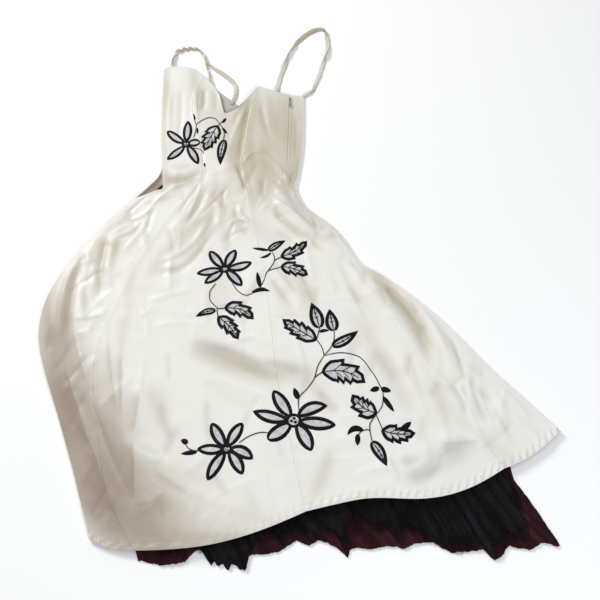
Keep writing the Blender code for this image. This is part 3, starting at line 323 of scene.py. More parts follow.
def alongCurve(table, t):  # the rows of a table read at row numbers t, on a Catmull-Rom curve
    table = np.asarray(table, float)
    t = np.clip(np.asarray(t, float), 0, len(table) - 1)
    i = np.minimum(t.astype(int), len(table) - 2)
    f = (t - i)[(...,) + (None,) * (table.ndim - 1)]
    p0, p1, p2 = table[np.maximum(i - 1, 0)], table[i], table[i + 1]
    p3 = table[np.minimum(i + 2, len(table) - 1)]
    return p1 + 0.5 * f * (p2 - p0 + f * (2 * p0 - 5 * p1 + 4 * p2 - p3 + f * (3 * (p1 - p2) + p3 - p0)))


def softNoise(x, y, size, seed):  # seeded random values on a lattice of that size, joined smoothly, -1 to 1
    values = np.random.default_rng(seed).uniform(-1, 1, (64, 64))
    gx, gy = np.asarray(x) / size + 731.3, np.asarray(y) / size + 517.7
    i, j = np.floor(gx).astype(int), np.floor(gy).astype(int)
    u, v = smooth(gx - i), smooth(gy - j)
    low = values[i % 64, j % 64] * (1 - u) + values[(i + 1) % 64, j % 64] * u
    high = values[i % 64, (j + 1) % 64] * (1 - u) + values[(i + 1) % 64, (j + 1) % 64] * u
    return low * (1 - v) + high * v


def softened(table):  # a table of share and value as an even one, its corners rounded
    table = np.array(table, float)
    share = np.linspace(0, 1, 201)
    value = np.interp(share, table[:, 0], table[:, 1])
    kernel = np.hanning(9)
    padded = np.concatenate([2 * value[0] - value[4:0:-1], value, 2 * value[-1] - value[-2:-6:-1]])
    return share, np.convolve(padded, kernel / kernel.sum(), "valid")


neckArch, neckDip = softened(dressShape["neckArch"]), softened(dressShape["neckDip"])


def edgeRadius(t):  # outer radius of the fold along a side edge at section t
    s = dressShape
    skirt = smooth((np.asarray(t, float) - s["waist"]) / 2.0)
    return s["bodiceEdge"] + (s["skirtEdge"] - s["bodiceEdge"]) * skirt


def sideLine(side, t):  # outermost line of a side edge, and the direction from it into the dress
    inner = leftSeam if side == leftEdge else rightSeam
    line = alongCurve(dressShape["sections"][:, side], t)
    return line, unit(alongCurve(dressShape["sections"][:, inner], t) - line)


def frontLine(column, t):  # a seam, or the line where the flat front begins beside a side edge
    if column in (leftEdge, rightEdge):
        line, inward = sideLine(column, t)
        return line + inward * edgeRadius(t)[..., None]
    return alongCurve(dressShape["sections"][:, column], t)


def frontPlan(panel, u, t):
    # the point at share u between two seams at section t, lifted or dipped by half a bell near the neck and
    # bowed by half a sine near the hem
    u, t = np.broadcast_arrays(np.asarray(u, float), np.asarray(t, float))
    a, b = frontLine(panel, t), frontLine(panel + 1, t)
    point = a + (b - a) * u[..., None]
    neck = np.clip(1.0 - t / dressShape["waist"], 0, 1) ** 2
    hem = np.clip((t - dressShape["hem"] + dressShape["hemReach"]) / dressShape["hemReach"], 0, 1) ** 2
    if panel == 0:
        point[..., 1] += neck * np.interp(u, *neckArch)
    if panel == 1:
        point[..., 1] -= neck * np.interp(u, *neckDip)
    bow = np.sin(math.pi * u ** dressShape["hemSkew"][panel])
    point[..., 1] -= hem * dressShape["hemBulges"][panel] * bow
    at, half, rise = dressShape["hemWave"]
    point[..., 1] += hem * rise * np.exp(-((point[..., 0] - at) / half) ** 2)
    return point


def backPlan(f, t):  # the point underneath at share f of the way from the right edge to the left one
    f, t = np.broadcast_arrays(np.asarray(f, float), np.asarray(t, float))
    right, left = frontLine(rightEdge, t), frontLine(leftEdge, t)
    point = right + (left - right) * f[..., None]
    neck = np.clip(1.0 - t / dressShape["waist"], 0, 1) ** 2
    hem = np.clip((t - dressShape["hem"] + dressShape["hemReach"]) / dressShape["hemReach"], 0, 1) ** 2
    scoop = np.clip(1 - np.abs(f - dressShape["backScoopAt"]) / dressShape["backScoopHalf"], 0, 1)
    point[..., 1] -= neck ** 0.85 * dressShape["backScoop"] * scoop
    point[..., 1] -= hem * dressShape["backHemBulge"] * 4 * f * (1 - f)
    return point


edgeSections = np.linspace(0, dressShape["hem"], 157)
edgeLines = [sideLine(side, edgeSections)[0] for side in (leftEdge, rightEdge)]


def fromLine(points, line):  # distance of each point from a line, and the section number beside it
    nearest = ((points[:, None] - line) ** 2).sum(-1).argmin(1)
    tangent = unit(np.gradient(line, axis=0))[nearest]
    offset = points - line[nearest]
    away = np.abs(tangent[:, 0] * offset[:, 1] - tangent[:, 1] * offset[:, 0])
    inside = (nearest > 0) & (nearest < len(line) - 1)
    return np.where(inside, away, np.linalg.norm(offset, axis=1)), edgeSections[nearest]


def foldBend(row, count=25):  # a fold's bent line through its middle point, with tangents and length
    s = np.linspace(0, 1, count)[:, None]
    start, middle, end = row[0:2], row[2:4], row[4:6]
    line = (1 - s) ** 2 * start + 2 * s * (1 - s) * (2 * middle - 0.5 * (start + end)) + s ** 2 * end
    return line, unit(np.gradient(line, axis=0)), np.linalg.norm(np.diff(line, axis=0), axis=1).sum()


scattered = {"seed": 12, "count": 190, "spread": 0.5, "crossing": 0.25, "length": (0.040, 0.14),
             "height": (0.0008, 0.0021), "half": (0.0055, 0.014)}


def scatteredFolds():
    # more small folds than are worth placing by hand, over the skirt: most run down from the waist, and some
    # cross; each has the columns of foldTable, drawn at random within the limits above
    k = scattered
    rng = np.random.default_rng(k["seed"])
    rows = []
    for _ in range(k["count"]):
        panel, t = rng.integers(0, 4), rng.uniform(3.2, 12.6)
        x, y = frontPlan(panel, rng.uniform(0.08, 0.92), t)
        ox, oy = clothLook["fanFrom"]
        turn = math.atan2(y - oy, x - ox) + rng.normal(0, k["spread"])
        turn += math.pi / 2 * (rng.uniform() < k["crossing"])
        run = np.array((math.cos(turn), math.sin(turn)))
        reach, bend = rng.uniform(*k["length"]) / 2, rng.uniform(-0.12, 0.12)
        start, end = np.array((x, y)) - reach * run, np.array((x, y)) + reach * run
        middle = np.array((x, y)) + bend * reach * leftOf(run)
        height = rng.uniform(*k["height"]) * rng.choice((1, 1, -1))
        widths = rng.uniform(*k["half"], 2)
        rows.append((*start, *middle, *end, *widths, height, rng.uniform(1.4, 2.0)))
    return np.array(rows)


allFolds = np.concatenate([foldTable, scatteredFolds()])
foldLines = [foldBend(row) for row in allFolds]
edgeBends = [foldBend(row) for row in creaseShadeEdges]


def besideLine(points, bend, reach):
    # of the points within reach of a bent line: which they are, their distance from it (positive on the left
    # of the run), and a share that fades at its ends
    line, tangent, length = bend
    near = np.flatnonzero(((points > line.min(0) - reach) & (points < line.max(0) + reach)).all(1))
    offset = points[near, None] - line
    k = (offset ** 2).sum(-1).argmin(1) if len(near) else near
    offset = offset[np.arange(len(near)), k]
    side = tangent[k, 0] * offset[:, 1] - tangent[k, 1] * offset[:, 0]
    share = k / (len(line) - 1) + (tangent[k] * offset).sum(1) / length
    return near, side, smooth(share / 0.28) * smooth((1 - share) / 0.28)


def foldHeight(points):
    # sum over the folds of height * exp(-(distance / half width) ** sharpness), faded at both ends; also how
    # deep each point lies in the troughs
    total, hollow = np.zeros(len(points)), np.zeros(len(points))
    for row, bend in zip(allFolds, foldLines):
        left, right, height, power = *np.maximum(row[6:8], clothLook["narrowest"]), *row[8:]
        near, side, ends = besideLine(points, bend, 3.2 * max(left, right))
        bell = ends * np.exp(-(np.abs(side) / np.where(side > 0, left, right)) ** power)
        total[near] += clothLook["foldScale"] * height * bell
        if height < 0:
            hollow[near] += bell * min(1.0, -height / 0.004)
    return total, hollow


def tuckShare(points):  # 1 inside the bent-under corner at the left waist, 0 outside
    top, corner, end = (np.array(waistTuck[k]) for k in ("top", "corner", "end"))
    shares = []
    for a, b in ((top, corner), (end, corner)):
        run = unit(b - a)
        side = run[0] * (points[:, 1] - a[1]) - run[1] * (points[:, 0] - a[0])
        shares.append(side)
    inside = np.minimum(-shares[0], shares[1])
    near = smooth((0.075 - np.linalg.norm(points - corner, axis=1)) / 0.01)
    return smooth(inside / waistTuck["edge"] + 0.5) * near


def smallCreases(x, y, t):
    # fine unevenness, stronger in patches: soft folds that radiate below the waist, upright ones in the
    # bodice, and rounded crumples, each a height times soft noise on stretched coordinates
    c = clothLook
    ox, oy = c["fanFrom"]
    radius, angle = np.hypot(x - ox, y - oy), np.arctan2(x - ox, oy - y)
    fan = softNoise(angle * c["fanLength"] / c["fanAngle"], radius, c["fanLength"], 25)
    draw = softNoise(x * c["drawLength"] / c["drawWidth"], y + 0.3 * x, c["drawLength"], 27)
    low = smooth((t - 2.6) / 1.2)
    patchy = smooth(0.55 + 0.9 * softNoise(x, y, 0.09, 5))
    total = patchy * (c["fanHeight"] * low * fan + c["drawHeight"] * (1 - low) * draw)
    total += c["crumpleHeight"] * patchy * softNoise(x + y, y - 0.4 * x, c["crumpleLength"], 7)
    return total


# painted shade: adds a part to the tan, mauve-brown and cool grey tones
def addTone(tones, where, part, share):  # to tan, mauve-brown and cool grey; a share below 0 is of cool grey
    tones[0, where] += min(1, 1 + share) * part
    tones[1, where] += max(share, 0) * part
    tones[2, where] += max(-share, 0) * part


def clothHeight(x, y, plain=False):
    # outer height of the front over any plan point: twice the edge radius, plus a dome that rises from both
    # side edges, plus the folds and the cloth's own unevenness, less the tuck at the left waist; unless it is
    # plain, also two tones of painted shade, each 1 - exp(-gain * the sum of troughs, patches and pressed
    # crease edges): the first is above 0 for tan and below 0 for cool grey, and the second is the share of
    # mauve-brown, which also stands for the reverse side at the tuck
    shape = np.shape(x)
    points = np.stack([np.ravel(x), np.ravel(y)], -1).astype(float)
    s, c = dressShape, clothLook
    (fromLeft, tLeft), (fromRight, tRight) = (fromLine(points, line) for line in edgeLines)
    t = (tLeft * fromRight + tRight * fromLeft) / (fromLeft + fromRight)
    radius = edgeRadius(t)
    fromLeft, fromRight = np.maximum(fromLeft - radius, 0), np.maximum(fromRight - radius, 0)
    dome = s["bodiceDome"] + (s["skirtDome"] - s["bodiceDome"]) * smooth((t - s["waist"]) / 3.0)
    dome *= 1 - (1 - s["hemDome"]) * smooth((t - s["hem"] + 1.5) / 1.5)
    dome *= (1 - np.exp(-fromLeft / s["domeReach"])) * (1 - np.exp(-fromRight / s["domeReach"]))
    inner = smooth(np.minimum(fromLeft, fromRight) / s["foldFade"])
    folds, hollow = foldHeight(points)
    waves = c["waveHeight"] * softNoise(points[:, 0], points[:, 1], c["waveLength"], 3)
    waves += smallCreases(points[:, 0], points[:, 1], t)
    tuck = tuckShare(points)
    z = 2 * radius + dome + inner * (folds + waves) - waistTuck["drop"] * tuck * smooth(fromLeft / 0.008)
    if plain:
        return z.reshape(shape)
    k = toneLook
    tones = np.stack([k["trough"] * hollow * inner, 0 * inner, 0 * inner])
    for px, py, long, wide, angle, strength, share in shadePatches:
        run = np.array((math.cos(math.radians(angle)), math.sin(math.radians(angle))))
        offset = points - (px, py)
        along, across = offset @ run, offset @ leftOf(run)
        streak = 1 + k["streak"] * softNoise(along, 5 * across, k["streakLength"], 9)
        part = strength * streak * np.exp(-np.abs(along / long) ** 3 - (across / wide) ** 2)
        addTone(tones, slice(None), part, share)
    for row, bend in zip(creaseShadeEdges, edgeBends):
        width, strength, share = row[6:]
        near, side, ends = besideLine(points, bend, 3 * width)
        side *= math.copysign(1, strength)
        step = smooth(side / k["edgeStep"] + 0.5) * np.exp(-np.maximum(side, 0) / width)
        addTone(tones, near, abs(strength) * ends * step, share)
    tan, brown, cool = 1 - np.exp(-k["gain"] * np.maximum(tones, 0))
    return z.reshape(shape), (tan * (1 - cool) - cool).reshape(shape), np.maximum(tuck, brown).reshape(shape)


def gridFaces(rows, columns, wrap):
    # quads of a grid numbered row by row; with wrap, the last column joins the first
    i = np.arange(rows - 1)[:, None] * columns
    j = np.arange(columns if wrap else columns - 1)[None, :]
    k = (j + 1) % columns
    return np.stack([i + j, i + k, i + columns + k, i + columns + j], -1).reshape(-1, 4)


def grid(points, flip=False, wrap=False, uv=0.0, shade=0.0, other=0.0, hem=0.0):
    return {"points": points, "flip": flip, "wrap": wrap, "uv": uv,
            "shade": shade, "other": other, "hem": hem}


def makePiece(name, grids, materials, node=None):
    # one mesh from several grids, with a UV map in metres and the attributes "shade", "other" and "hem"
    points, faces, uvs, start = [], [], [], 0
    attributes = {"shade": [], "other": [], "hem": []}
    for g in grids:
        rows, columns = g["points"].shape[:2]
        quads = gridFaces(rows, columns, g["wrap"])
        faces.append((quads[:, ::-1] if g["flip"] else quads) + start)
        points.append(g["points"].reshape(-1, 3))
        uvs.append(np.broadcast_to(g["uv"], (rows, columns, 2)).reshape(-1, 2))
        for key, values in attributes.items():
            values.append(np.broadcast_to(g[key], (rows, columns)).reshape(-1))
        start += rows * columns
    points, faces, uvs = (np.concatenate(v) for v in (points, faces, uvs))
    mesh = bpy.data.meshes.new(name)
    mesh.from_pydata(points.astype(np.float32).tolist(), [], faces.tolist())
    mesh.polygons.foreach_set("use_smooth", np.ones(len(faces), bool))
    layer = mesh.uv_layers.new(name="cloth")
    layer.data.foreach_set("uv", uvs[faces.ravel()].astype(np.float32).ravel())
    for key, values in attributes.items():
        attribute = mesh.attributes.new(key, "FLOAT", "POINT")
        attribute.data.foreach_set("value", np.concatenate(values).astype(np.float32))
    for material in materials:
        mesh.materials.append(material)
    mesh.update()
    made = bpy.data.objects.new(name, mesh)
    bpy.context.scene.collection.objects.link(made)
    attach(made, "dress")
    if node:
        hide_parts(node)
    return made


def thicken(piece, thickness, innerFinish=0):  # gives a sheet its thickness, inwards
    solid = piece.modifiers.new("thickness", "SOLIDIFY")
    solid.thickness = thickness
    solid.offset = -1
    solid.material_offset = innerFinish
    solid.use_quality_normals = True


def newMaterial(name, roughness, sheen=0.0, sheenRoughness=0.3, specular=0.5, metallic=0.0):
    made = bpy.data.materials.new(name)
    made.use_nodes = True
    shader = made.node_tree.nodes["Principled BSDF"]
    shader.inputs["Roughness"].default_value = roughness
    shader.inputs["Sheen Weight"].default_value = sheen
    shader.inputs["Sheen Roughness"].default_value = sheenRoughness
    shader.inputs["Specular IOR Level"].default_value = specular
    shader.inputs["Metallic"].default_value = metallic
    return made


def addNode(material, kind, links=(), **values):
    # a node with its properties and inputs set; links are (input, source node, output name)
    made = material.node_tree.nodes.new(kind)
    for key, value in values.items():
        if key in made.inputs:
            made.inputs[key].default_value = value
        else:
            setattr(made, key, value)
    for target, source, output in links:
        material.node_tree.links.new(source.outputs[output], made.inputs[target])
    return made


def join(material, source, output, target):  # into the material's shader
    shader = material.node_tree.nodes["Principled BSDF"]
    material.node_tree.links.new(source.outputs[output], shader.inputs[target])


def placed(material, scale, kind="Object"):  # coordinates stretched by a Mapping node
    where = addNode(material, "ShaderNodeTexCoord")
    return addNode(material, "ShaderNodeMapping", [("Vector", where, kind)], Scale=scale)


def noiseOn(material, mapping, scale, detail=3.0, roughness=0.55):
    return addNode(material, "ShaderNodeTexNoise", [("Vector", mapping, "Vector")], Scale=scale,
                   Detail=detail, Roughness=roughness)


def mixOf(material, factor, output, low, high, lowNode=None):  # of two colours, or of a mix and a colour
    made = material.node_tree.nodes.new("ShaderNodeMix")
    made.data_type = "RGBA"
    made.inputs[6].default_value = (*low, 1)
    made.inputs[7].default_value = (*high, 1)
    material.node_tree.links.new(factor.outputs[output], made.inputs[0])
    if lowNode:
        material.node_tree.links.new(lowNode.outputs[2], made.inputs[6])
    return made


def ramped(material, source, output, low, high, fromLow=0.0, fromHigh=1.0):
    made = addNode(material, "ShaderNodeMapRange", [("Value", source, output)])
    for key, value in (("From Min", fromLow), ("From Max", fromHigh), ("To Min", low), ("To Max", high)):
        made.inputs[key].default_value = value
    return made


def bumped(material, source, output, strength, distance):
    bump = addNode(material, "ShaderNodeBump", [("Height", source, output)], Strength=strength,
                   Distance=distance)
    join(material, bump, "Normal", "Normal")


# colours of painted shade: the tan shadow, the cool grey and the mauve-brown, which also stands for the
# reverse side at the left waist's tuck
satinLook = {
    "ivory": (0.790, 0.776, 0.728), "shadow": (0.43, 0.372, 0.262), "wrongSideAndShade": (0.300, 0.228, 0.192),
    "cool": (0.462, 0.457, 0.441),
    "roughness": (0.41, 0.52), "sheen": 0.12, "specular": 0.45,
    "crease": 0.0045, "ripple": 0.0017,  # depth of the small pressed creases and of the hem's ripples
}


def satinMaterial(name, colour, shadow, roughness):
    # ivory that turns tan where "shade" is high and cool grey where it is below 0, both painted shade, and
    # mauve-brown where "other" is high, painted shade that also stands for the reverse side at the tuck; in
    # the bump, the weave's long fine floats, a network of small pressed creases, and slanting ripples where
    # "hem" is high
    made = newMaterial(name, 0.35, satinLook["sheen"], 0.35, satinLook["specular"])
    broad = noiseOn(made, placed(made, (1, 1, 1)), 7.0, 4.0)
    tone = mixOf(made, ramped(made, broad, "Fac", 0.0, 1.0, 0.35, 0.7), "Result", colour,
                 tuple(0.965 * c for c in colour))
    hollow = addNode(made, "ShaderNodeAttribute", attribute_name="shade")
    warm = mixOf(made, hollow, "Fac", colour, shadow, tone)
    cool = ramped(made, hollow, "Fac", 0.0, 1.0, 0.0, -1.0)
    shaded = mixOf(made, cool, "Result", colour, satinLook["cool"], warm)
    mauveShare = addNode(made, "ShaderNodeAttribute", attribute_name="other")
    whole = mixOf(made, mauveShare, "Fac", colour, satinLook["wrongSideAndShade"], shaded)
    join(made, whole, 2, "Base Color")
    join(made, ramped(made, broad, "Fac", roughness[0], roughness[1], 0.3, 0.7), "Result", "Roughness")
    floats = noiseOn(made, placed(made, (1500, 170, 1500)), 1.0, 2.0)
    fine = addNode(made, "ShaderNodeBump", [("Height", floats, "Fac")], Strength=0.25, Distance=0.00015)
    creases = addNode(made, "ShaderNodeTexNoise", [("Vector", placed(made, (1, 0.8, 1)), "Vector")],
                      Scale=6.0, Detail=3.0, Roughness=0.5, Distortion=0.5, noise_type="RIDGED_MULTIFRACTAL")
    pressed = addNode(made, "ShaderNodeBump", [("Height", creases, "Fac"), ("Normal", fine, "Normal")],
                      Strength=1.0, Distance=satinLook["crease"])
    ripple = addNode(made, "ShaderNodeTexWave", [("Vector", placed(made, (1, 0.55, 1), "UV"), "Vector")],
                     bands_direction="DIAGONAL", Scale=33.0, Distortion=1.5, Detail=1.0)
    hem = addNode(made, "ShaderNodeAttribute", attribute_name="hem")
    drawn = addNode(made, "ShaderNodeMath", [(0, ripple, "Fac"), (1, hem, "Fac")], operation="MULTIPLY")
    puckered = addNode(made, "ShaderNodeBump", [("Height", drawn, "Value"), ("Normal", pressed, "Normal")],
                       Strength=1.0, Distance=satinLook["ripple"])
    join(made, puckered, "Normal", "Normal")
    return made


print("finishes")
satin = satinMaterial("ivorySatin", satinLook["ivory"], satinLook["shadow"], satinLook["roughness"])
wrongSide = satinMaterial("satinWrongSide", (0.50, 0.45, 0.385), (0.26, 0.21, 0.17), (0.5, 0.65))

organzaLook = {"light": (0.63, 0.625, 0.62), "dark": (0.42, 0.41, 0.41)}
organza = newMaterial("greyOrganza", 0.5, 0.3, 0.4)
streaks = noiseOn(organza, placed(organza, (1, 1, 1)), 95.0, 3.0)
organzaTone = mixOf(organza, ramped(organza, streaks, "Fac", 0, 1, 0.32, 0.68), "Result", organzaLook["dark"],
                    organzaLook["light"])
join(organza, organzaTone, 2, "Base Color")
bumped(organza, noiseOn(organza, placed(organza, (2200, 2200, 2200)), 1.0, 1.0), "Fac", 0.3, 0.0002)

threadLook = {"colour": (0.0012, 0.0011, 0.0020), "edge": (0.0050, 0.0045, 0.0070)}
thread = newMaterial("blackSatinStitch", 0.55, 0.0, 0.4, 0.13)
stitch = addNode(thread, "ShaderNodeTexWave", [("Vector", placed(thread, (1, 1, 1), "UV"), "Vector")],
                 bands_direction="Y", Scale=330.0, Distortion=1.2, Detail=1.0)
threadTone = mixOf(thread, stitch, "Fac", threadLook["colour"], threadLook["edge"])
join(thread, threadTone, 2, "Base Color")
bumped(thread, stitch, "Fac", 0.5, 0.0003)

def twilled(name, roughness, sheenRoughness, specular, scale, light, dark):
    # woven cloth of fine slanting lines in two colours
    made = newMaterial(name, roughness, 0.2, sheenRoughness, specular)
    lines = addNode(made, "ShaderNodeTexWave", [("Vector", placed(made, (1, 1, 1)), "Vector")],
                    bands_direction="DIAGONAL", Scale=scale)
    join(made, mixOf(made, lines, "Fac", light, dark), 2, "Base Color")
    return made


ivoryThread = twilled("ivoryThread", 0.45, 0.3, 0.5, 900.0, (0.72, 0.68, 0.58), (0.60, 0.55, 0.44))
tapeCloth = twilled("zipTapeCloth", 0.8, 0.5, 0.3, 700.0, (0.62, 0.57, 0.47), (0.50, 0.45, 0.36))


def netMaterial(name, dark, light, alpha, scale):
    # torn gathered net: soft streaks along the gathers, a fine mesh in the bump; "shade" is its density, so
    # that the cloth beneath shows through where it thins out, more in some places than in others
    made = newMaterial(name, 0.8, 0.0, 0.5, 0.10)
    across = noiseOn(made, placed(made, (scale, 0.22 * scale, scale), "UV"), 1.0, 3.0)
    blotch = noiseOn(made, placed(made, (1, 1, 1)), 17.0, 4.0)
    streak = mixOf(made, ramped(made, across, "Fac", 0, 1, 0.40, 0.72), "Result", dark, light)
    whole = mixOf(made, ramped(made, blotch, "Fac", 0, 0.8, 0.40, 0.60), "Result", dark, dark, streak)
    join(made, whole, 2, "Base Color")
    density = addNode(made, "ShaderNodeAttribute", attribute_name="shade")
    uneven = ramped(made, across, "Fac", -0.45, 0.45, 0.30, 0.70)
    total = addNode(made, "ShaderNodeMath", [(0, density, "Fac"), (1, uneven, "Result")], operation="ADD")
    seen = addNode(made, "ShaderNodeMath", [(0, total, "Value")], operation="MULTIPLY", use_clamp=True)
    seen.inputs[1].default_value = alpha
    join(made, seen, "Value", "Alpha")
    holes = addNode(made, "ShaderNodeTexVoronoi", [("Vector", placed(made, (900, 900, 900)), "Vector")],
                    Scale=1.0)
    bumped(made, holes, "Distance", 0.4, 0.0004)
    return made


blackNet = netMaterial("blackTulle", (0.0010, 0.0008, 0.0012), (0.014, 0.012, 0.015), 0.96, 45.0)
burgundyNet = netMaterial("burgundyTulle", (0.014, 0.0028, 0.0048), (0.070, 0.016, 0.022), 0.97, 38.0)

zipMetal = newMaterial("zipMetal", 0.38, metallic=1.0)
wearAndEdgeShade = noiseOn(zipMetal, placed(zipMetal, (1, 1, 1)), 700.0, 3.0)
join(zipMetal, mixOf(zipMetal, wearAndEdgeShade, "Fac", (0.30, 0.28, 0.25), (0.62, 0.58, 0.50)), 2, "Base Color")
join(zipMetal, ramped(zipMetal, wearAndEdgeShade, "Fac", 0.28, 0.5), "Result", "Roughness")
bumped(zipMetal, wearAndEdgeShade, "Fac", 0.15, 0.0001)


def sectionRows():  # section numbers from neck to hem, evenly spaced down the front and closer at both edges
    t = np.linspace(0, dressShape["hem"], 521)
    middle = (frontLine(leftSeam, t) + frontLine(rightSeam, t)) / 2
    run = distances(middle)
    rim = np.array(clothLook["rim"])
    inner = np.linspace(rim[-1], run[-1] - rim[-1], int(run[-1] / clothLook["spacing"]))
    return np.interp(np.concatenate([rim[:-1], inner, run[-1] - rim[-2::-1]]), run, t)


def seamShares(width, count, firstGap, lastGap):
    # shares across a panel: lines at fixed distances beside each seam, even steps between; a gap of None is
    # an edge
    rim = np.array(clothLook["rim"])
    near = np.tile(rim[:-1], (len(width), 1))
    first = [] if firstGap is None else [near + firstGap]
    last = [] if lastGap is None else [width[:, None] - near[:, ::-1] - lastGap]
    a = 0.0 if firstGap is None else rim[-1] + firstGap
    b = 0.0 if lastGap is None else rim[-1] + lastGap
    even = a + (width - a - b)[:, None] * np.linspace(0, 1, count)
    return np.concatenate(first + [even] + last, axis=1) / width[:, None]


def runAlong(plan, axis):  # distance covered along a grid's rows or columns
    step = np.linalg.norm(np.diff(plan, axis=axis), axis=-1)
    start = np.zeros_like(step.take([0], axis=axis))
    return np.concatenate([start, np.cumsum(step, axis=axis)], axis=axis)


def seamShape(distance, run, seed, zipShare=0.0):
    # a groove where two panels meet, a low ridge over the allowances, and small uneven puckers that fade away
    c = clothLook
    depth = c["seamDepth"] + (c["zipDepth"] - c["seamDepth"]) * zipShare
    groove = -depth * np.exp(-(distance / c["seamWidth"]) ** 2)
    ridge = c["allowance"] * smooth((c["allowanceWidth"] - distance) / 0.003)
    pucker = softNoise(run, distance * 0.4, c["puckerLength"], seed) * np.exp(-distance / 0.012)
    return groove + ridge + 2.0 * c["puckerHeight"] * pucker


def hemShape(distance, run):
    # doubled cloth along the hem, a sunk stitch line, and the slanting ripples that the stitching pulls up
    c = clothLook
    band = c["hemRise"] * smooth((c["hemWidth"] + 0.001 - distance) / 0.002)
    line = -c["hemLine"] * np.exp(-((distance - c["hemWidth"]) / 0.0022) ** 2)
    phase = (run + 0.5 * distance) / c["hemPitch"] + 0.6 * softNoise(run, distance, 0.03, 21)
    ripple = c["hemPucker"] * np.sin(2 * math.pi * phase) * np.exp(-((distance - 0.009) / 0.006) ** 2)
    return band + line + ripple - 0.0010 * np.exp(-distance / 0.0012)


def neckShape(distance):  # the turned top edge: a low roll, then the cloth bends down
    return 0.0006 * np.exp(-((distance - 0.0028) / 0.0018) ** 2) - 0.0014 * np.exp(-distance / 0.0008)


rowSections = sectionRows()
fromFloor = 0.0003  # how far above the surface the lowest cloth lies


def frontGrid(panel, count, firstGap, lastGap, seed):  # points and both tones of a stretch between two seams
    t = rowSections
    width = np.linalg.norm(frontLine(panel + 1, t) - frontLine(panel, t), axis=1)
    zipped = smooth(dressShape["waist"] + 0.1 - t)[:, None]  # 1 down to the foot of the zip
    share = seamShares(width, count, firstGap, lastGap)
    plan = frontPlan(panel, share, t[:, None])
    z, shade, other = clothHeight(plan[..., 0], plan[..., 1])
    down, across = runAlong(plan, 0), runAlong(plan, 1)
    if firstGap is not None:
        z += seamShape(share * width[:, None], down, seed, zipped * (panel == zipSeam))
    if lastGap is not None:
        z += seamShape((1 - share) * width[:, None], down, seed + 1, zipped * (panel + 1 == zipSeam))
    z += hemShape(down[-1:] - down, across[-1:] + 0.37 * panel) + neckShape(down)
    return lifted(plan, z), shade, other


def wrapGrid(side, steps):  # the cloth round a side edge, from the top of the edge down to the surface
    t = rowSections
    line, inward = sideLine(side, t)
    radius = edgeRadius(t)
    angle = np.radians(np.linspace(90, -90, steps + 2)[1:])
    middle = line + inward * radius[:, None]
    plan = middle[:, None] - inward[:, None] * (radius[:, None] * np.cos(angle))[..., None]
    return lifted(plan, radius[:, None] * (1 + np.sin(angle)) + fromFloor)


def underGrid(shares, gap=(0.0, 0.0)):  # cloth that rests on the surface, flat beneath
    t = rowSections
    plan = backPlan(shares[None, :], t[:, None])
    across = unit(plan[:, -1] - plan[:, 0])
    plan[:, 0] += across * gap[0]
    plan[:, -1] -= across * gap[1]
    return lifted(plan, fromFloor)


def facesDown(points):  # True where a grid's own faces point down, so that they must be turned
    a = points[1:, :-1] - points[:-1, :-1]
    b = points[:-1, 1:] - points[:-1, :-1]
    return float(np.cross(b, a)[..., 2].sum()) < 0


def cloth(node, parts):
    # a panel from stretches side by side, each with its points and both tones; "hem" is the share of the
    # ripples that the hem's stitching pulls up, a bell a little above the edge
    points = np.concatenate([part[0] for part in parts], axis=1)
    shade, other = (np.concatenate([np.broadcast_to(part[k], part[0].shape[:2]) for part in parts], axis=1)
                    for k in (1, 2))
    across, down = runAlong(points[..., :2], 1), runAlong(points[..., :2], 0)
    hem = np.exp(-((down[-1:] - down - 0.009) / 0.010) ** 2)
    sheet = grid(points, turned, False, np.stack([across, down], -1), shade, other, hem)
    piece = makePiece(node + "_satin", [sheet], [satin, wrongSide], node)
    thicken(piece, clothLook["thickness"], 1)
    return piece


print("satin panels")
gap = clothLook["seamGap"]
frontLeft = frontGrid(0, 50, None, gap, 11)
frontCentre = frontGrid(1, 100, gap, gap, 12)
frontRight = frontGrid(2, 100, gap, gap, 13)
sideStrip = frontGrid(3, 40, gap, None, 14)
turned = facesDown(frontCentre[0])

atRight, atLeft, atSide = (dressShape[k] for k in ("backSeamRight", "backSeamLeft", "sideSeamLeft"))
wrapLeft = np.concatenate([underGrid(np.linspace(atSide, 1.0, 10), (gap, 0)),
                           wrapGrid(leftEdge, 9)[:, -2::-1]], axis=1)
wrapRight = np.concatenate([wrapGrid(rightEdge, 9)[:, :-1],
                            underGrid(np.linspace(0, atRight, 24), (0, gap))], axis=1)
backCentre = underGrid(np.linspace(atRight, atLeft, 60), (gap, gap))
backLeft = underGrid(np.linspace(atLeft, atSide, 40), (gap, gap))
leftPiece = cloth("front_left", [(wrapLeft, 0, 0), frontLeft])
centrePiece = cloth("front_centre", [frontCentre])
rightPiece = cloth("front_right", [frontRight])
backRightPiece = cloth("back_right", [(*sideStrip[:2], 0), (wrapRight, 0, 0)])
backCentrePiece = cloth("back_centre", [(backCentre, 0, 0)])
backLeftPiece = cloth("back_left", [(backLeft, 0, 0)])


hemStitches = {"length": 0.0034, "pitch": 0.0052, "half": 0.00035, "height": 0.0004, "fromEdge": 0.0125}


def stitchGrids(plan, z, length, half, height):
    # small rounded bars on a line of points: each is a ring of four points carried through five stations
    run = unit(np.gradient(plan, axis=0))
    side = leftOf(run)
    along = np.linspace(-0.5, 0.5, 5)
    swell = np.sqrt(np.clip(1.02 - (2 * along) ** 2, 0.02, 1))
    ring = np.radians([0, 90, 180, 270])
    grids = []
    for k in range(len(plan)):
        centre = plan[k] + np.outer(along * length, run[k])
        points = np.zeros((5, 4, 3))
        points[..., :2] = centre[:, None] + (swell[:, None] * np.cos(ring) * half)[..., None] * side[k]
        points[..., 2] = z[k] + height * (0.35 + swell[:, None] * np.sin(ring) * 0.8)
        grids.append(grid(points, True, True))
    return grids


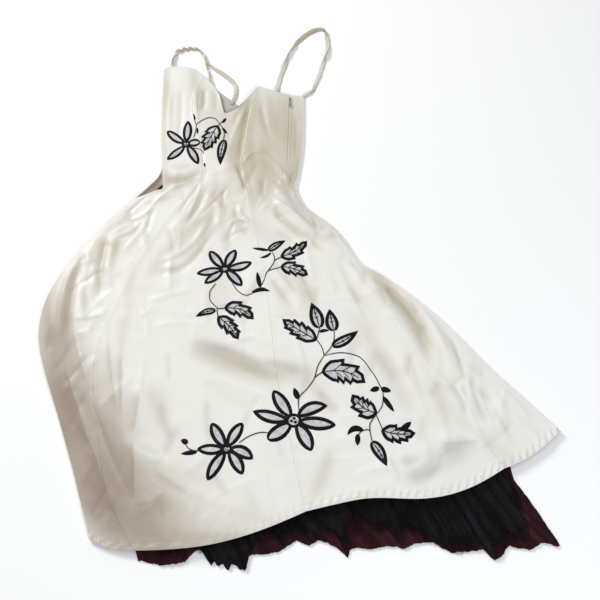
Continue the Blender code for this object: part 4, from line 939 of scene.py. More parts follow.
def hemLine(points):  # the line at the stitch distance above the hem of a front grid, even in pitch
    plan = points[..., :2]
    fromHem = runAlong(plan, 0)
    fromHem = fromHem[-1:] - fromHem
    row = np.abs(fromHem - hemStitches["fromEdge"]).argmin(0)
    line = points[row, np.arange(points.shape[1])]
    run = distances(line[:, :2])
    at = np.arange(hemStitches["pitch"] / 2, run[-1], hemStitches["pitch"])
    return np.stack([np.interp(at, run, line[:, k]) for k in range(3)], -1)


print("hem stitching")
stitches = []
for points in (frontLeft[0], frontCentre[0], frontRight[0], sideStrip[0]):
    line = hemLine(points)
    h = hemStitches
    stitches += stitchGrids(line[:, :2], line[:, 2], h["length"], h["half"], h["height"])
makePiece("hem_stitching", stitches, [ivoryThread])


# Columns: x, y, half width, height of the underside, half turns of twist, shade: painted shade, which also
# stands for the duller reverse side where a twist turns it up.
strapTables = {
    "strap_right": np.array([
        (-0.0480, 0.4740, 0.0050, 0.0040, 0.0, 0.35), (-0.0460, 0.4840, 0.0050, 0.0034, 0.05, 0.1),
        (-0.0400, 0.5100, 0.0058, 0.0, 0.0, 0.0), (-0.0330, 0.5420, 0.0062, 0.0, 0.05, 0.0),
        (-0.0200, 0.5840, 0.0060, 0.0, 0.15, 0.1), (-0.0090, 0.6230, 0.0035, 0.0, 0.5, 0.5),
        (0.0080, 0.6540, 0.0050, 0.0, 0.95, 0.85), (0.0330, 0.6840, 0.0060, 0.0, 1.0, 0.9),
        (0.0580, 0.7010, 0.0060, 0.0, 1.0, 0.9), (0.0790, 0.7050, 0.0050, 0.0, 1.25, 0.7),
        (0.0930, 0.6900, 0.0055, 0.0, 1.85, 0.3), (0.0970, 0.6480, 0.0062, 0.0, 2.0, 0.1),
        (0.0925, 0.6200, 0.0045, 0.0, 2.4, 0.45), (0.0850, 0.5880, 0.0050, 0.0, 2.9, 0.1),
        (0.0706, 0.5388, 0.0056, 0.0, 3.0, 0.0), (0.0583, 0.5031, 0.0044, 0.0, 3.0, 0.3),
        (0.0535, 0.4900, 0.0038, 0.0, 3.05, 0.6), (0.0440, 0.4840, 0.0052, 0.0006, 3.1, 0.2),
        (0.0340, 0.4750, 0.0046, 0.0014, 3.0, 0.15), (0.0240, 0.4650, 0.0042, 0.0018, 3.0, 0.4),
        (0.0170, 0.4560, 0.0040, 0.0018, 3.0, 0.5)]),
    "strap_left": np.array([
        (-0.3300, 0.5630, 0.0045, 0.0029, 0.0, 0.3), (-0.3310, 0.5740, 0.0045, 0.0024, 0.1, 0.1),
        (-0.3320, 0.5980, 0.0050, 0.0, 0.6, 0.45), (-0.3250, 0.6180, 0.0050, 0.0, 1.0, 0.2),
        (-0.3120, 0.6290, 0.0045, 0.0, 1.8, 0.5), (-0.2900, 0.6350, 0.0044, 0.0, 3.2, 0.5),
        (-0.2650, 0.6320, 0.0044, 0.0, 4.6, 0.5), (-0.2500, 0.6160, 0.0046, 0.0, 5.0, 0.2),
        (-0.2400, 0.5900, 0.0042, 0.0, 5.6, 0.4), (-0.2200, 0.5690, 0.0050, 0.0, 6.0, 0.3),
        (-0.1950, 0.5490, 0.0058, 0.0, 6.0, 0.3), (-0.1720, 0.5280, 0.0058, 0.0, 6.0, 0.35),
        (-0.1570, 0.5050, 0.0056, 0.0, 6.05, 0.2), (-0.1540, 0.4810, 0.0052, 0.0006, 6.0, 0.3),
        (-0.1600, 0.4560, 0.0048, 0.0018, 6.0, 0.5), (-0.1650, 0.4440, 0.0046, 0.0018, 6.0, 0.6)]),
    "strap_keeper": np.array([
        (-0.2225, 0.5100, 0.0026, 0.0050, 0.0, 0.6), (-0.2250, 0.5230, 0.0026, 0.0044, 0.8, 0.7),
        (-0.2300, 0.5490, 0.0028, 0.0014, 1.7, 0.3), (-0.2390, 0.5770, 0.0026, 0.0020, 2.6, 0.4),
        (-0.2420, 0.5860, 0.0024, 0.0020, 3.0, 0.5)]),
}
strapLook = {"thick": 0.0011, "bunched": 0.0019, "steps": 14, "ring": 20, "crease": 0.35, "crumple": 0.16}


def strapGrid(table, seed):
    # a turned tube: a flattened oval with a crease down its middle, turned about its path by the twist;
    # its own height follows from the turn, so that it always lies on the surface
    k = strapLook
    rows = alongCurve(table, np.linspace(0, len(table) - 1, k["steps"] * (len(table) - 1) + 1))
    run = unit(np.gradient(rows[:, :2], axis=0))
    side = leftOf(run)
    length = distances(rows[:, :2])
    half = rows[:, 2] * (1 + k["crumple"] * softNoise(length, 0 * length, 0.011, seed))
    angle = np.linspace(0, 2 * math.pi, k["ring"], endpoint=False)
    flatness = np.sign(np.cos(angle)) * np.abs(np.cos(angle)) ** 0.8
    crease = 1 - k["crease"] * np.exp(-(flatness / 0.22) ** 2)
    wide = half[:, None] * flatness
    turn = math.pi * rows[:, 4]
    tight = smooth(np.abs(np.gradient(turn, length)) / 250)  # 1 where the twist is tight enough to bunch it
    thick = k["thick"] + (k["bunched"] - k["thick"]) * tight
    thick *= 1 + 0.3 * softNoise(length, 0 * length, 0.016, seed + 1)
    high = np.sin(angle) * crease * thick[:, None]
    between = (1 - np.cos(2 * math.pi * length / length[-1])) / 2
    turn = turn + 0.20 * softNoise(length, 0 * length, 0.022, seed + 2) * between
    across = wide * np.cos(turn)[:, None] - high * np.sin(turn)[:, None]
    up = wide * np.sin(turn)[:, None] + high * np.cos(turn)[:, None]
    z = np.maximum(rows[:, 3], 0.0003)[:, None] + up - up.min(axis=1, keepdims=True)
    points = lifted(rows[:, None, :2] + across[..., None] * side[:, None], z)
    uv = paired(angle * 0.002, length[:, None], across.shape)
    edge = np.abs(flatness) ** 4
    # painted shade: a little everywhere, the table's shade, down the middle crease and along both edges
    shade = 0.14 + rows[:, 5:6] + 0.2 * np.exp(-(flatness / 0.2) ** 2) + 0.45 * edge
    shade = np.clip(shade, 0, 1)
    # mauve-brown painted shade along both edges, where the tube turns away
    wearAndEdgeShade = np.broadcast_to(0.10 + 0.45 * edge, across.shape)
    ends = [points[k] + (points[k].mean(0) - points[k]) * share for k in (0, -1) for share in (0.98, 0.45)]
    points = np.concatenate([ends[0][None], ends[1][None], points, ends[3][None], ends[2][None]])
    uv, shade, wearAndEdgeShade = (np.concatenate([v[:1], v[:1], v, v[-1:], v[-1:]]) for v in (uv, shade, wearAndEdgeShade))
    return grid(points, False, True, uv, shade, wearAndEdgeShade), length[-1]


print("straps")
straps, strapRuns = {}, {}
for seed, (node, table) in enumerate(strapTables.items()):
    tube, strapRuns[node] = strapGrid(table, 40 + 5 * seed)
    straps[node] = makePiece(node + "_band", [tube], [satin], node)


tulleLook = {
    # inside the skirt, rows of left x, y and right x, y
    "rows": np.array([
        (-0.325, 0.200, -0.004, 0.198), (-0.400, 0.100, 0.020, 0.110), (-0.490, -0.050, 0.120, -0.020),
        (-0.540, -0.200, 0.235, -0.140), (-0.490, -0.380, 0.350, -0.260), (-0.415, -0.550, 0.440, -0.400),
        (-0.340, -0.640, 0.462, -0.500)]),
    "columns": 560, "gatherPitch": 0.017, "gatherHeight": 0.0016, "ruffle": 0.0024,
}
# Torn lower edge of each layer, from its left end round to the right side of the skirt.
tornEdges = {
    "burgundy": np.array([
        (-0.3122, -0.6791), (-0.3082, -0.6999), (-0.3003, -0.6980), (-0.2879, -0.7018), (-0.2652, -0.7075),
        (-0.2393, -0.7037), (-0.2134, -0.6999), (-0.2040, -0.6886), (-0.1964, -0.6810), (-0.1844, -0.6772),
        (-0.1717, -0.6867), (-0.1589, -0.6999), (-0.1386, -0.7018), (-0.1106, -0.6962), (-0.0885, -0.6924),
        (-0.0785, -0.6867), (-0.0522, -0.6848), (-0.0259, -0.6829), (-0.0138, -0.6734), (-0.0017, -0.6657),
        (0.0126, -0.6580), (0.0248, -0.6657), (0.0370, -0.6695), (0.0473, -0.6638), (0.0555, -0.6599),
        (0.0738, -0.6638), (0.0939, -0.6734), (0.1079, -0.6848), (0.1157, -0.6943), (0.1202, -0.6791),
        (0.1285, -0.6734), (0.1447, -0.6753), (0.1650, -0.6753), (0.1938, -0.6695), (0.2140, -0.6714),
        (0.2301, -0.6753), (0.2448, -0.6676), (0.2593, -0.6638), (0.2758, -0.6618), (0.2919, -0.6638),
        (0.3056, -0.6714), (0.3270, -0.6829), (0.3596, -0.6810), (0.3926, -0.6753), (0.4034, -0.6886),
        (0.4127, -0.6962), (0.4234, -0.6905), (0.4322, -0.6848), (0.4374, -0.6753), (0.4462, -0.6695),
        (0.4617, -0.6753), (0.4839, -0.6772), (0.4988, -0.6714), (0.5101, -0.6638), (0.5223, -0.6638),
        (0.5340, -0.6676), (0.5436, -0.6714), (0.5482, -0.6676), (0.5400, -0.6520), (0.5320, -0.6386),
        (0.5138, -0.6071), (0.4900, -0.5670), (0.4705, -0.5383), (0.4669, -0.5155)]),
    "black": np.array([
        (-0.3080, -0.6775), (-0.2857, -0.6840), (-0.2452, -0.6860), (-0.1946, -0.6812), (-0.1762, -0.6831),
        (-0.1672, -0.6972), (-0.1606, -0.7056), (-0.1529, -0.6980), (-0.1463, -0.7093), (-0.1344, -0.7056),
        (-0.1241, -0.7112), (-0.1164, -0.7037), (-0.1039, -0.7149), (-0.0917, -0.7168), (-0.0862, -0.7000),
        (-0.0850, -0.6900), (-0.0790, -0.6780), (-0.0736, -0.6660), (-0.0470, -0.6600), (-0.0200, -0.6600),
        (-0.0139, -0.6725), (-0.0017, -0.6648), (0.0126, -0.6580), (0.0247, -0.6612), (0.0371, -0.6620),
        (0.0494, -0.6600), (0.0575, -0.6605), (0.0719, -0.6602), (0.0886, -0.6546), (0.1032, -0.6500),
        (0.1110, -0.6700), (0.1151, -0.6910), (0.1202, -0.6700), (0.1299, -0.6500), (0.1466, -0.6430),
        (0.1736, -0.6400), (0.2004, -0.6400), (0.2101, -0.6508), (0.2152, -0.6652), (0.2248, -0.6700),
        (0.2363, -0.6606), (0.2482, -0.6528), (0.2609, -0.6575), (0.2720, -0.6621), (0.2839, -0.6628),
        (0.2976, -0.6695), (0.3190, -0.6810), (0.3432, -0.6829), (0.3740, -0.6801), (0.3926, -0.6763),
        (0.4009, -0.6859), (0.4127, -0.6958), (0.4234, -0.6896), (0.4330, -0.6795), (0.4480, -0.6650),
        (0.4720, -0.6610), (0.4880, -0.6550), (0.4900, -0.6400), (0.4850, -0.6091), (0.4790, -0.5791),
        (0.4700, -0.5527), (0.4650, -0.5321), (0.4641, -0.5197)]),
}


def tulleHeight(x, y, toEdge):
    # gathers that fan out from the waist and open towards the torn edge, resting on the surface there
    k = tulleLook
    fan = x / (1.0 + 0.75 * (0.2 - y)) + 0.010 * softNoise(x, y, 0.07, 61)
    phase = 2 * math.pi * fan / k["gatherPitch"] * 1.4
    gather = 0.5 + 0.5 * np.sin(phase + 1.4 * softNoise(x, y, 0.05, 62))
    broad = 0.5 + 0.5 * softNoise(x, y, 0.045, 63)
    opened = np.exp(-toEdge / 0.09)
    return k["gatherHeight"] * gather * (0.6 + 0.7 * broad) + k["ruffle"] * opened * broad


def tulleSheet(node, edge, base, material, ragged, fade, seed):
    # rows of points from the waist to the torn edge, blended between stations; fade is the distance from the
    # edge over which the net grows dense, 0 for none
    k = tulleLook
    run = distances(edge)
    at = np.linspace(0, run[-1], k["columns"])
    lower = np.stack([np.interp(at, run, edge[:, 0]), np.interp(at, run, edge[:, 1])], -1)
    lower[:, 1] += ragged * softNoise(at, 0 * at, 0.004, seed)
    lower[:, 1] += 1.5 * ragged * softNoise(at, 0 * at, 0.013, seed + 1)
    share = np.clip((lower[:, 0] - lower[:, 0].min()) / np.ptp(lower[:, 0]), 0, 1)
    share = np.maximum.accumulate(0.25 * share + 0.75 * np.linspace(0, 1, len(share)))
    share = (share - share[0]) / (share[-1] - share[0])
    rows = k["rows"]
    inside = rows[:, None, :2] * (1 - share[:, None]) + rows[:, None, 2:] * share[:, None]
    stations = np.concatenate([inside, (0.5 * inside[-1] + 0.5 * lower)[None], lower[None]])
    t = np.concatenate([np.linspace(0, 5, 12)[:-1], np.linspace(5, len(stations) - 1, 46)])
    i = np.minimum(t.astype(int), len(stations) - 2)
    f = (t - i)[:, None, None]
    plan = stations[i] * (1 - f) + stations[i + 1] * f
    down = runAlong(plan, 0)
    toEdge = down[-1:] - down
    points = lifted(plan, base + tulleHeight(plan[..., 0], plan[..., 1], toEdge))
    uv = paired(at, 0.12 * down, toEdge.shape)
    density = np.full_like(toEdge, 1.5)
    if fade:
        thin = smooth(1.1 * softNoise(0.35 * plan[..., 1], plan[..., 0], 0.035, seed + 2) + 0.35)
        bare = np.exp(-((plan[..., 0] + 0.128) / 0.056) ** 8)  # no cloth beneath, so it stays dense
        density = np.maximum((1.5 - 0.75 * thin) * smooth(toEdge / fade) + 0.28, 1.5 * bare)
    return makePiece(node + "_net", [grid(points, True, uv=uv, shade=density)], [material], node)


print("tulle")
burgundyTulle = tulleSheet("tulle_burgundy", tornEdges["burgundy"], 0.0012, burgundyNet, 0.0012, 0.0, 71)
blackTulle = tulleSheet("tulle_black", tornEdges["black"], 0.0022, blackNet, 0.0030, 0.055, 75)


# Every petal and leaf is the same lens-shaped formula with its own place, size and bend.
# Petals: base x, y are the flower's middle. Columns: tip x, y, half width, bow to the left, bluntness.
flowers = {
    "flower_bust": {"spray": "bust", "middle": (-0.277, 0.312), "ring": 0.0085, "petals": (
        (-0.329, 0.353, 0.0098, 0.002, 0.80), (-0.276, 0.385, 0.0098, -0.001, 0.95),
        (-0.241, 0.318, 0.0100, 0.000, 0.55), (-0.242, 0.250, 0.0092, 0.002, 0.90),
        (-0.323, 0.265, 0.0088, 0.003, 0.85))},
    "flower_hip": {"spray": "hip", "middle": (-0.160, -0.050), "ring": 0.0080, "petals": (
        (-0.198, -0.002, 0.0100, 0.002, 0.75), (-0.136, 0.001, 0.0100, 0.001, 0.80),
        (-0.096, -0.034, 0.0095, -0.003, 0.85), (-0.118, -0.094, 0.0100, 0.001, 0.75),
        (-0.206, -0.089, 0.0090, 0.001, 0.90), (-0.226, -0.063, 0.0085, 0.001, 0.90))},
    "flower_knee": {"spray": "knee", "middle": (0.005, -0.415), "ring": 0.0140, "petals": (
        (-0.084, -0.394, 0.0115, 0.004, 1.05), (-0.040, -0.348, 0.0130, 0.001, 0.78),
        (0.079, -0.382, 0.0125, 0.009, 1.10), (0.096, -0.425, 0.0125, -0.001, 0.90),
        (0.043, -0.480, 0.0135, 0.003, 0.82), (-0.051, -0.456, 0.0140, 0.002, 0.60))},
    "flower_hem": {"spray": "knee", "middle": (-0.137, -0.476), "ring": 0.0085, "petals": (
        (-0.172, -0.420, 0.0110, 0.002, 0.75), (-0.105, -0.420, 0.0110, 0.002, 0.80),
        (-0.081, -0.497, 0.0110, 0.006, 0.90), (-0.102, -0.529, 0.0110, 0.003, 0.80),
        (-0.175, -0.541, 0.0110, -0.002, 0.85), (-0.200, -0.476, 0.0095, 0.001, 0.90))},
}
# Leaves. Columns: spray, base x, y, tip x, y, half width, bow to the left, teeth on the left and the right.
leaves = {
    "leaf_bust_a": ("bust", -0.1975, 0.3700, -0.2285, 0.2900, 0.0248, -0.002, 3, 3),
    "leaf_bust_b": ("bust", -0.1780, 0.3240, -0.1850, 0.2470, 0.0125, -0.003, 0, 0),
    "leaf_hip_a": ("hip", -0.1566, -0.1513, -0.0878, -0.1805, 0.0224, 0.011, 2, 2),
    "leaf_hip_b": ("hip", -0.1767, -0.1566, -0.2216, -0.1732, 0.0088, -0.002, 0, 0),
    "leaf_hip_c": ("hip", -0.1712, -0.1732, -0.1206, -0.2302, 0.0196, 0.005, 3, 2),
    "leaf_hip_d": ("hip", -0.0569, -0.0022, -0.0162, 0.0267, 0.0098, 0.002, 0, 0),
    "leaf_hip_e": ("hip", -0.0278, -0.0188, 0.0358, 0.0247, 0.0206, -0.007, 2, 2),
    "leaf_hip_f": ("hip", -0.0273, -0.0453, 0.0380, -0.0677, 0.0216, 0.005, 2, 2),
    "leaf_knee_a": ("knee", 0.0565, -0.2307, -0.0225, -0.1788, 0.0226, 0.002, 3, 3),
    "leaf_knee_b": ("knee", 0.0630, -0.2000, 0.0453, -0.1375, 0.0165, -0.001, 0, 0),
    "leaf_knee_c": ("knee", 0.0961, -0.2078, 0.0868, -0.1541, 0.0155, 0.001, 0, 0),
    "leaf_knee_d": ("knee", 0.0919, -0.2448, 0.1513, -0.2072, 0.0125, -0.003, 0, 0),
    "leaf_knee_e": ("knee", 0.0671, -0.3068, 0.1639, -0.3305, 0.0308, 0.014, 2, 3),
    "leaf_knee_f": ("knee", 0.1860, -0.4003, 0.1327, -0.3573, 0.0246, 0.008, 2, 3),
    "leaf_knee_g": ("knee", 0.1935, -0.4364, 0.2670, -0.4418, 0.0224, -0.005, 2, 3),
    "leaf_knee_h": ("knee", 0.1721, -0.4610, 0.2009, -0.5133, 0.0130, 0.003, 0, 0),
}
# Buds, filled solid with stitches. Columns: base x, y, tip x, y, half width, and the bow of those that bend.
buds = {
    "bust": ((-0.1857, 0.3785, -0.1759, 0.3945, 0.0040), (-0.1849, 0.3625, -0.1711, 0.3435, 0.0036),
             (-0.2570, 0.3881, -0.2634, 0.4075, 0.0024), (-0.2502, 0.3625, -0.2491, 0.3435, 0.0029),
             (-0.2268, 0.2540, -0.2238, 0.2410, 0.0026)),
    "hip": ((-0.0935, -0.1123, -0.0522, -0.1093, 0.0058, 0.006), (-0.0751, -0.0979, -0.0831, -0.0590, 0.0055),
            (-0.0575, -0.0006, -0.0958, 0.0056, 0.0042), (-0.0506, -0.0079, -0.0783, -0.0208, 0.0036, 0.003)),
    "knee": ((0.0143, -0.3668, 0.0055, -0.3420, 0.0067), (0.0629, -0.2106, 0.0853, -0.2078, 0.0042, 0.002),
             (0.1930, -0.3420, 0.1729, -0.3488, 0.0062), (0.1973, -0.3442, 0.2191, -0.3488, 0.0067),
             (0.2009, -0.3623, 0.2232, -0.3957, 0.0058), (0.2360, -0.4372, 0.2588, -0.4177, 0.0067),
             (0.1545, -0.4367, 0.1204, -0.4464, 0.0066, -0.009), (0.1425, -0.4450, 0.1410, -0.4690, 0.0060),
             (-0.2002, -0.4821, -0.2340, -0.4863, 0.0050), (-0.2206, -0.4630, -0.2360, -0.4566, 0.0060)),
}
stems = {
    "bust": (((-0.2534, 0.3721), (-0.2410, 0.3849), (-0.2232, 0.3945), (-0.2046, 0.3913), (-0.1934, 0.3753)),
             ((-0.2534, 0.3721), (-0.2547, 0.3498), (-0.2587, 0.3309)),
             ((-0.1934, 0.3753), (-0.1980, 0.3625)),
             ((-0.1934, 0.3753), (-0.1822, 0.3593), (-0.1789, 0.3435), (-0.1805, 0.3215)),
             ((-0.1934, 0.3753), (-0.1858, 0.3817)),
             ((-0.2643, 0.3000), (-0.2470, 0.2975), (-0.2350, 0.2930), (-0.2285, 0.2817)),
             ((-0.2634, 0.4075), (-0.2596, 0.3881), (-0.2534, 0.3721))),
    "hip": (((-0.1790, -0.0890), (-0.1850, -0.0980), (-0.1918, -0.1107), (-0.1908, -0.1310),
             (-0.1808, -0.1436), (-0.1712, -0.1512)),
            ((-0.1412, -0.0876), (-0.1264, -0.1082), (-0.1074, -0.1184), (-0.0865, -0.1107),
             (-0.0750, -0.1030)),
            ((-0.0751, -0.1005), (-0.0661, -0.0798), (-0.0595, -0.0590), (-0.0455, -0.0510),
             (-0.0260, -0.0450)),
            ((-0.0595, -0.0590), (-0.0433, -0.0326), (-0.0435, -0.0167), (-0.0485, -0.0059)),
            ((-0.0435, -0.0310), (-0.0360, -0.0250), (-0.0265, -0.0195)),
            ((-0.1757, -0.1537), (-0.1573, -0.1512)),
            ((-0.1733, -0.1562), (-0.1701, -0.1736))),
    "knee": (((-0.1116, -0.4630), (-0.0928, -0.4501), (-0.0694, -0.4415), (-0.0501, -0.4415)),
             ((0.0165, -0.3957), (0.0165, -0.3645), (0.0341, -0.3442), (0.0498, -0.3214), (0.0589, -0.2913),
              (0.0727, -0.2679)),
             ((0.0727, -0.2679), (0.0684, -0.2489), (0.0566, -0.2300)),
             ((0.0566, -0.2290), (0.0600, -0.2151), (0.0640, -0.1990)),
             ((0.0735, -0.2665), (0.0879, -0.2492), (0.0958, -0.2294), (0.0962, -0.2060)),
             ((0.0727, -0.2679), (0.1111, -0.2608), (0.1513, -0.2702), (0.1791, -0.3053), (0.1954, -0.3374),
              (0.2012, -0.3555), (0.1977, -0.3824), (0.1837, -0.4023)),
             ((0.0505, -0.3195), (0.0590, -0.3125), (0.0690, -0.3058)),
             ((0.1837, -0.4023), (0.1699, -0.4220), (0.1692, -0.4394), (0.1726, -0.4608)),
             ((0.1837, -0.4023), (0.1896, -0.4177), (0.1955, -0.4330)),
             ((0.1700, -0.4373), (0.1612, -0.4352), (0.1500, -0.4390), (0.1425, -0.4480)),
             ((-0.2294, -0.4587), (-0.2199, -0.4736), (-0.2046, -0.4799), (-0.1941, -0.4778))),
}
sprayLook = {
    "band": 0.0085, "bandRise": 0.0010, "stemHalf": 0.0010, "stemRise": 0.0008, "veinHalf": 0.0012,
    "lift": 0.0008, "organzaLift": 0.0007, "petalSteps": 34, "leafSteps": 89, "grow": 0.0028, "notch": 0.60,
}


def onCloth(plan, lift):  # plan points laid on the front, that much above it
    return lifted(plan, clothHeight(plan[..., 0], plan[..., 1], plain=True) + lift)


def lensAxis(base, tip, bow, s):  # a straight axis from base to tip, bowed to the left by a half sine
    base, tip = np.array(base, float), np.array(tip, float)
    length = np.linalg.norm(tip - base)
    run = (tip - base) / length
    left = leftOf(run)
    axis = base + np.outer(s * length, run) + np.outer(bow * np.sin(math.pi * s), left)
    tangent = unit(length * run + np.outer(bow * math.pi * np.cos(math.pi * s), left))
    return axis, leftOf(tangent)


def lensWidth(s, root, point):  # half width along the axis: s ** root * (1 - s) ** point at a peak of 1
    peak = root / (root + point)
    return (s ** root * (1 - s) ** point) / (peak ** root * (1 - peak) ** point)


def toothedOutline(teeth, shift):
    # share of the length and of the half width along one side: out from the base, each tooth forward and back
    # in to its notch, then on to the tip; the teeth of the two sides are shifted against each other
    peaks = 0.36 + shift + (0.38 if teeth > 2 else 0.28) * np.arange(teeth) / (teeth - 1)
    line = [(0.0, 0.08), (0.04, 0.32), (0.11, 0.58), (0.20, 0.80)]
    for peak in peaks:
        wide = np.interp(peak, (0.0, 0.34, 0.50, 0.78, 1.0), (0.5, 0.96, 1.0, 0.74, 0.2))
        line += [(peak - 0.06, 0.88 * wide), (peak + 0.05, wide), (peak - 0.005, sprayLook["notch"] * wide)]
    line += [(0.86, 0.45), (1.0, 0.0)]
    line = np.array(line)
    at = np.linspace(0, len(line) - 1, sprayLook["leafSteps"])
    for corner in range(len(line)):
        at[np.abs(at - corner).argmin()] = corner
    return np.stack([np.interp(at, np.arange(len(line)), line[:, k]) for k in range(2)], -1)


def insideOf(s, outer, band, reach):
    # a narrower outline inside a toothed one: the least width within a short reach along the axis, less the
    # band
    order = np.maximum.accumulate(s)
    near = np.interp(np.clip(s[:, None] + np.linspace(-reach, reach, 9), 0, 1), order, outer).min(axis=1)
    return np.clip(np.minimum(near - 0.70 * band, outer - 0.88 * band), 0, None)


def sideBand(base, tip, bow, side, s, inner, outer, length):  # a raised band of stitches between two outlines
    k = sprayLook
    axis, normal = lensAxis(base, tip, bow, s)
    q = np.linspace(0, 1, 6)
    swell = np.sqrt(np.clip(1 - (2 * q - 1) ** 2, 0, 1))
    filled = smooth((0.0012 - inner) / 0.0012)[:, None]  # 1 where no sheer cloth shows: high up to the axis
    swell = np.maximum(swell, filled * np.sqrt(1 - q ** 2))
    reach = inner[:, None] + np.maximum(outer - inner, 0.0003)[:, None] * q
    plan = axis[:, None] + side * reach[..., None] * normal[:, None]
    rise = k["bandRise"] * swell * smooth(np.minimum(outer, 0.004) / 0.004)[:, None]
    uv = paired(q * 0.004, (s * length)[:, None], reach.shape)
    return grid(onCloth(plan, k["lift"] * (1 - 0.8 * q) + rise), side > 0, uv=uv)


def sheerGrid(left, right):  # sheer cloth between two lines
    q = np.linspace(0, 1, 9)[:, None]
    return grid(onCloth(right[:, None] * (1 - q) + left[:, None] * q, sprayLook["organzaLift"]), True)


def lensGrids(base, tip, half, bow=0.0, root=0.7, point=0.7, solid=False, start=0.0):
    # a petal, plain leaf or bud: a stitched band on each side, and unless it is solid the sheer cloth between
    # them; start is the share of the length that lies under a flower's middle
    k = sprayLook
    length = np.linalg.norm(np.array(tip) - np.array(base))
    s = np.linspace(0, 1, k["petalSteps"])
    outer = half * lensWidth(np.clip(0.03 + 0.97 * s, 0, 1), root, point)
    inner = np.zeros_like(s) if solid else np.maximum(outer - min(k["band"], 0.58 * half), 0)
    s = start + (1 - start) * s
    bands = [sideBand(base, tip, bow, side, s, inner, outer, length) for side in (1, -1)]
    if solid:
        return bands, None
    axis, normal = lensAxis(base, tip, bow, s)
    reach = (inner + 0.0008 * smooth(inner / 0.002))[:, None] * normal
    return bands, sheerGrid(axis + reach, axis - reach)


def toothedGrids(base, tip, half, bow, teeth):  # a toothed leaf: the same, with its own outline on each side
    k = sprayLook
    length = np.linalg.norm(np.array(tip) - np.array(base))
    bands, lines = [], []
    for side, count, shift in ((1, teeth[0], 0.04), (-1, teeth[1], -0.03)):
        outline = toothedOutline(count, shift)
        s, outer = outline[:, 0], half * outline[:, 1]
        inner = insideOf(s, outer, k["band"], 0.5 * k["band"] / length)
        bands.append(sideBand(base, tip, bow, side, s, inner, outer, length))
        axis, normal = lensAxis(base, tip, bow, s)
        lines.append(axis + side * (inner + 0.0008 * smooth(inner / 0.002))[:, None] * normal)
    return bands, sheerGrid(*lines)


def ribbonGrid(line, half, rise, closed=False, lift=None):
    # a narrow raised band of stitches along a smooth line, tapered at its ends
    k = sprayLook
    line = np.array(line, float)
    if closed:
        plan = line
        run = unit(np.roll(plan, -1, 0) - np.roll(plan, 1, 0))
        taper = np.ones(len(plan))
        plan, run, taper = (np.concatenate([v, v[:1]]) for v in (plan, run, taper))
    else:
        t = np.linspace(0, len(line) - 1, 9 * (len(line) - 1) + 1)
        plan = alongCurve(line, t)
        run = unit(np.gradient(plan, axis=0))
        share = np.linspace(0, 1, len(plan))
        taper = 0.55 + 0.45 * smooth(np.minimum(share, 1 - share) / 0.15)
    side = leftOf(run)
    q = np.linspace(-1, 1, 6)
    wide = plan[:, None] + (half * taper[:, None] * q)[..., None] * side[:, None]
    raised = (k["lift"] if lift is None else lift) + rise * np.sqrt(np.clip(1 - q ** 2, 0, 1))
    uv = paired(q * 0.001, distances(plan)[:, None], wide.shape[:2])
    return grid(onCloth(wide, raised), uv=uv)


def veinGrids(base, tip, bow, half, toothed):  # a midrib, with short side veins that slant towards the tip
    k = sprayLook
    axis, normal = lensAxis(base, tip, bow, np.linspace(0.06, 0.82, 9))
    ahead = -leftOf(normal)
    lift = k["organzaLift"] + 0.0002
    grids = [ribbonGrid(axis, k["veinHalf"], 0.0006, lift=lift)]
    for at in (2, 4, 6) if toothed else (3, 5):
        for side in (1, -1):
            reach = np.linspace(0, (0.55 if toothed else 0.32) * half * (1.1 - 0.08 * at), 4)
            line = axis[at] + np.outer(reach, side * normal[at]) + np.outer(1.2 * reach, ahead[at])
            grids.append(ribbonGrid(line, 0.7 * k["veinHalf"], 0.0005, lift=lift))
    return grids


print("embroidered sprays")
stitched = {"bust": [], "hip": [], "knee": []}
organzaPieces = {"bust": [], "hip": [], "knee": []}


def organzaPiece(node, spray, grids):
    organzaPieces[spray].append(makePiece("organza_" + node, grids, [organza], node))


for node, flower in flowers.items():
    sheers = []
    middle, ring = np.array(flower["middle"]), flower["ring"]
    for x, y, half, bow, blunt in flower["petals"]:
        start = 0.75 * ring / np.linalg.norm(np.array((x, y)) - middle)
        bands, sheer = lensGrids(middle, (x, y), half + sprayLook["grow"], bow, 0.72 * blunt + 0.08,
                                 0.78 * blunt, start=start)
        stitched[flower["spray"]] += bands
        sheers.append(sheer)
    turn = np.linspace(0, 2 * math.pi, 30, endpoint=False)
    circle = middle + ring * np.stack([np.cos(turn), 0.9 * np.sin(turn)], -1)
    stitched[flower["spray"]].append(ribbonGrid(circle, 0.0030, 0.0012, closed=True, lift=0.0006))
    sheers.append(lensGrids(middle - (ring, 0), middle + (ring, 0), 0.9 * ring, 0.0, 0.5, 0.5)[1])
    for dot in np.radians((80, 190, 320)):
        at = middle + 0.34 * ring * np.array((math.cos(dot), math.sin(dot)))
        reach = 0.26 * ring
        small, _ = lensGrids(at - (reach, 0), at + (reach, 0), 0.9 * reach, 0.0, 0.5, 0.5, solid=True)
        stitched[flower["spray"]] += small
    organzaPiece(node, flower["spray"], sheers)
for node, (spray, bx, by, tx, ty, half, bow, *teeth) in leaves.items():
    if teeth[0]:
        bands, sheer = toothedGrids((bx, by), (tx, ty), half, bow, teeth)
    else:
        bands, sheer = lensGrids((bx, by), (tx, ty), half, bow, 0.55, 0.95)
    stitched[spray] += bands + veinGrids((bx, by), (tx, ty), bow, half, teeth[0])
    organzaPiece(node, spray, [sheer])
for spray in stitched:
    for bx, by, tx, ty, half, *bow in buds[spray]:
        stitched[spray] += lensGrids((bx, by), (tx, ty), half, sum(bow), 0.6, 0.8, solid=True)[0]
    for line in stems[spray]:
        stitched[spray].append(ribbonGrid(line, sprayLook["stemHalf"], sprayLook["stemRise"]))
for spray, grids in stitched.items():
    makePiece("embroidery_" + spray, grids, [thread])


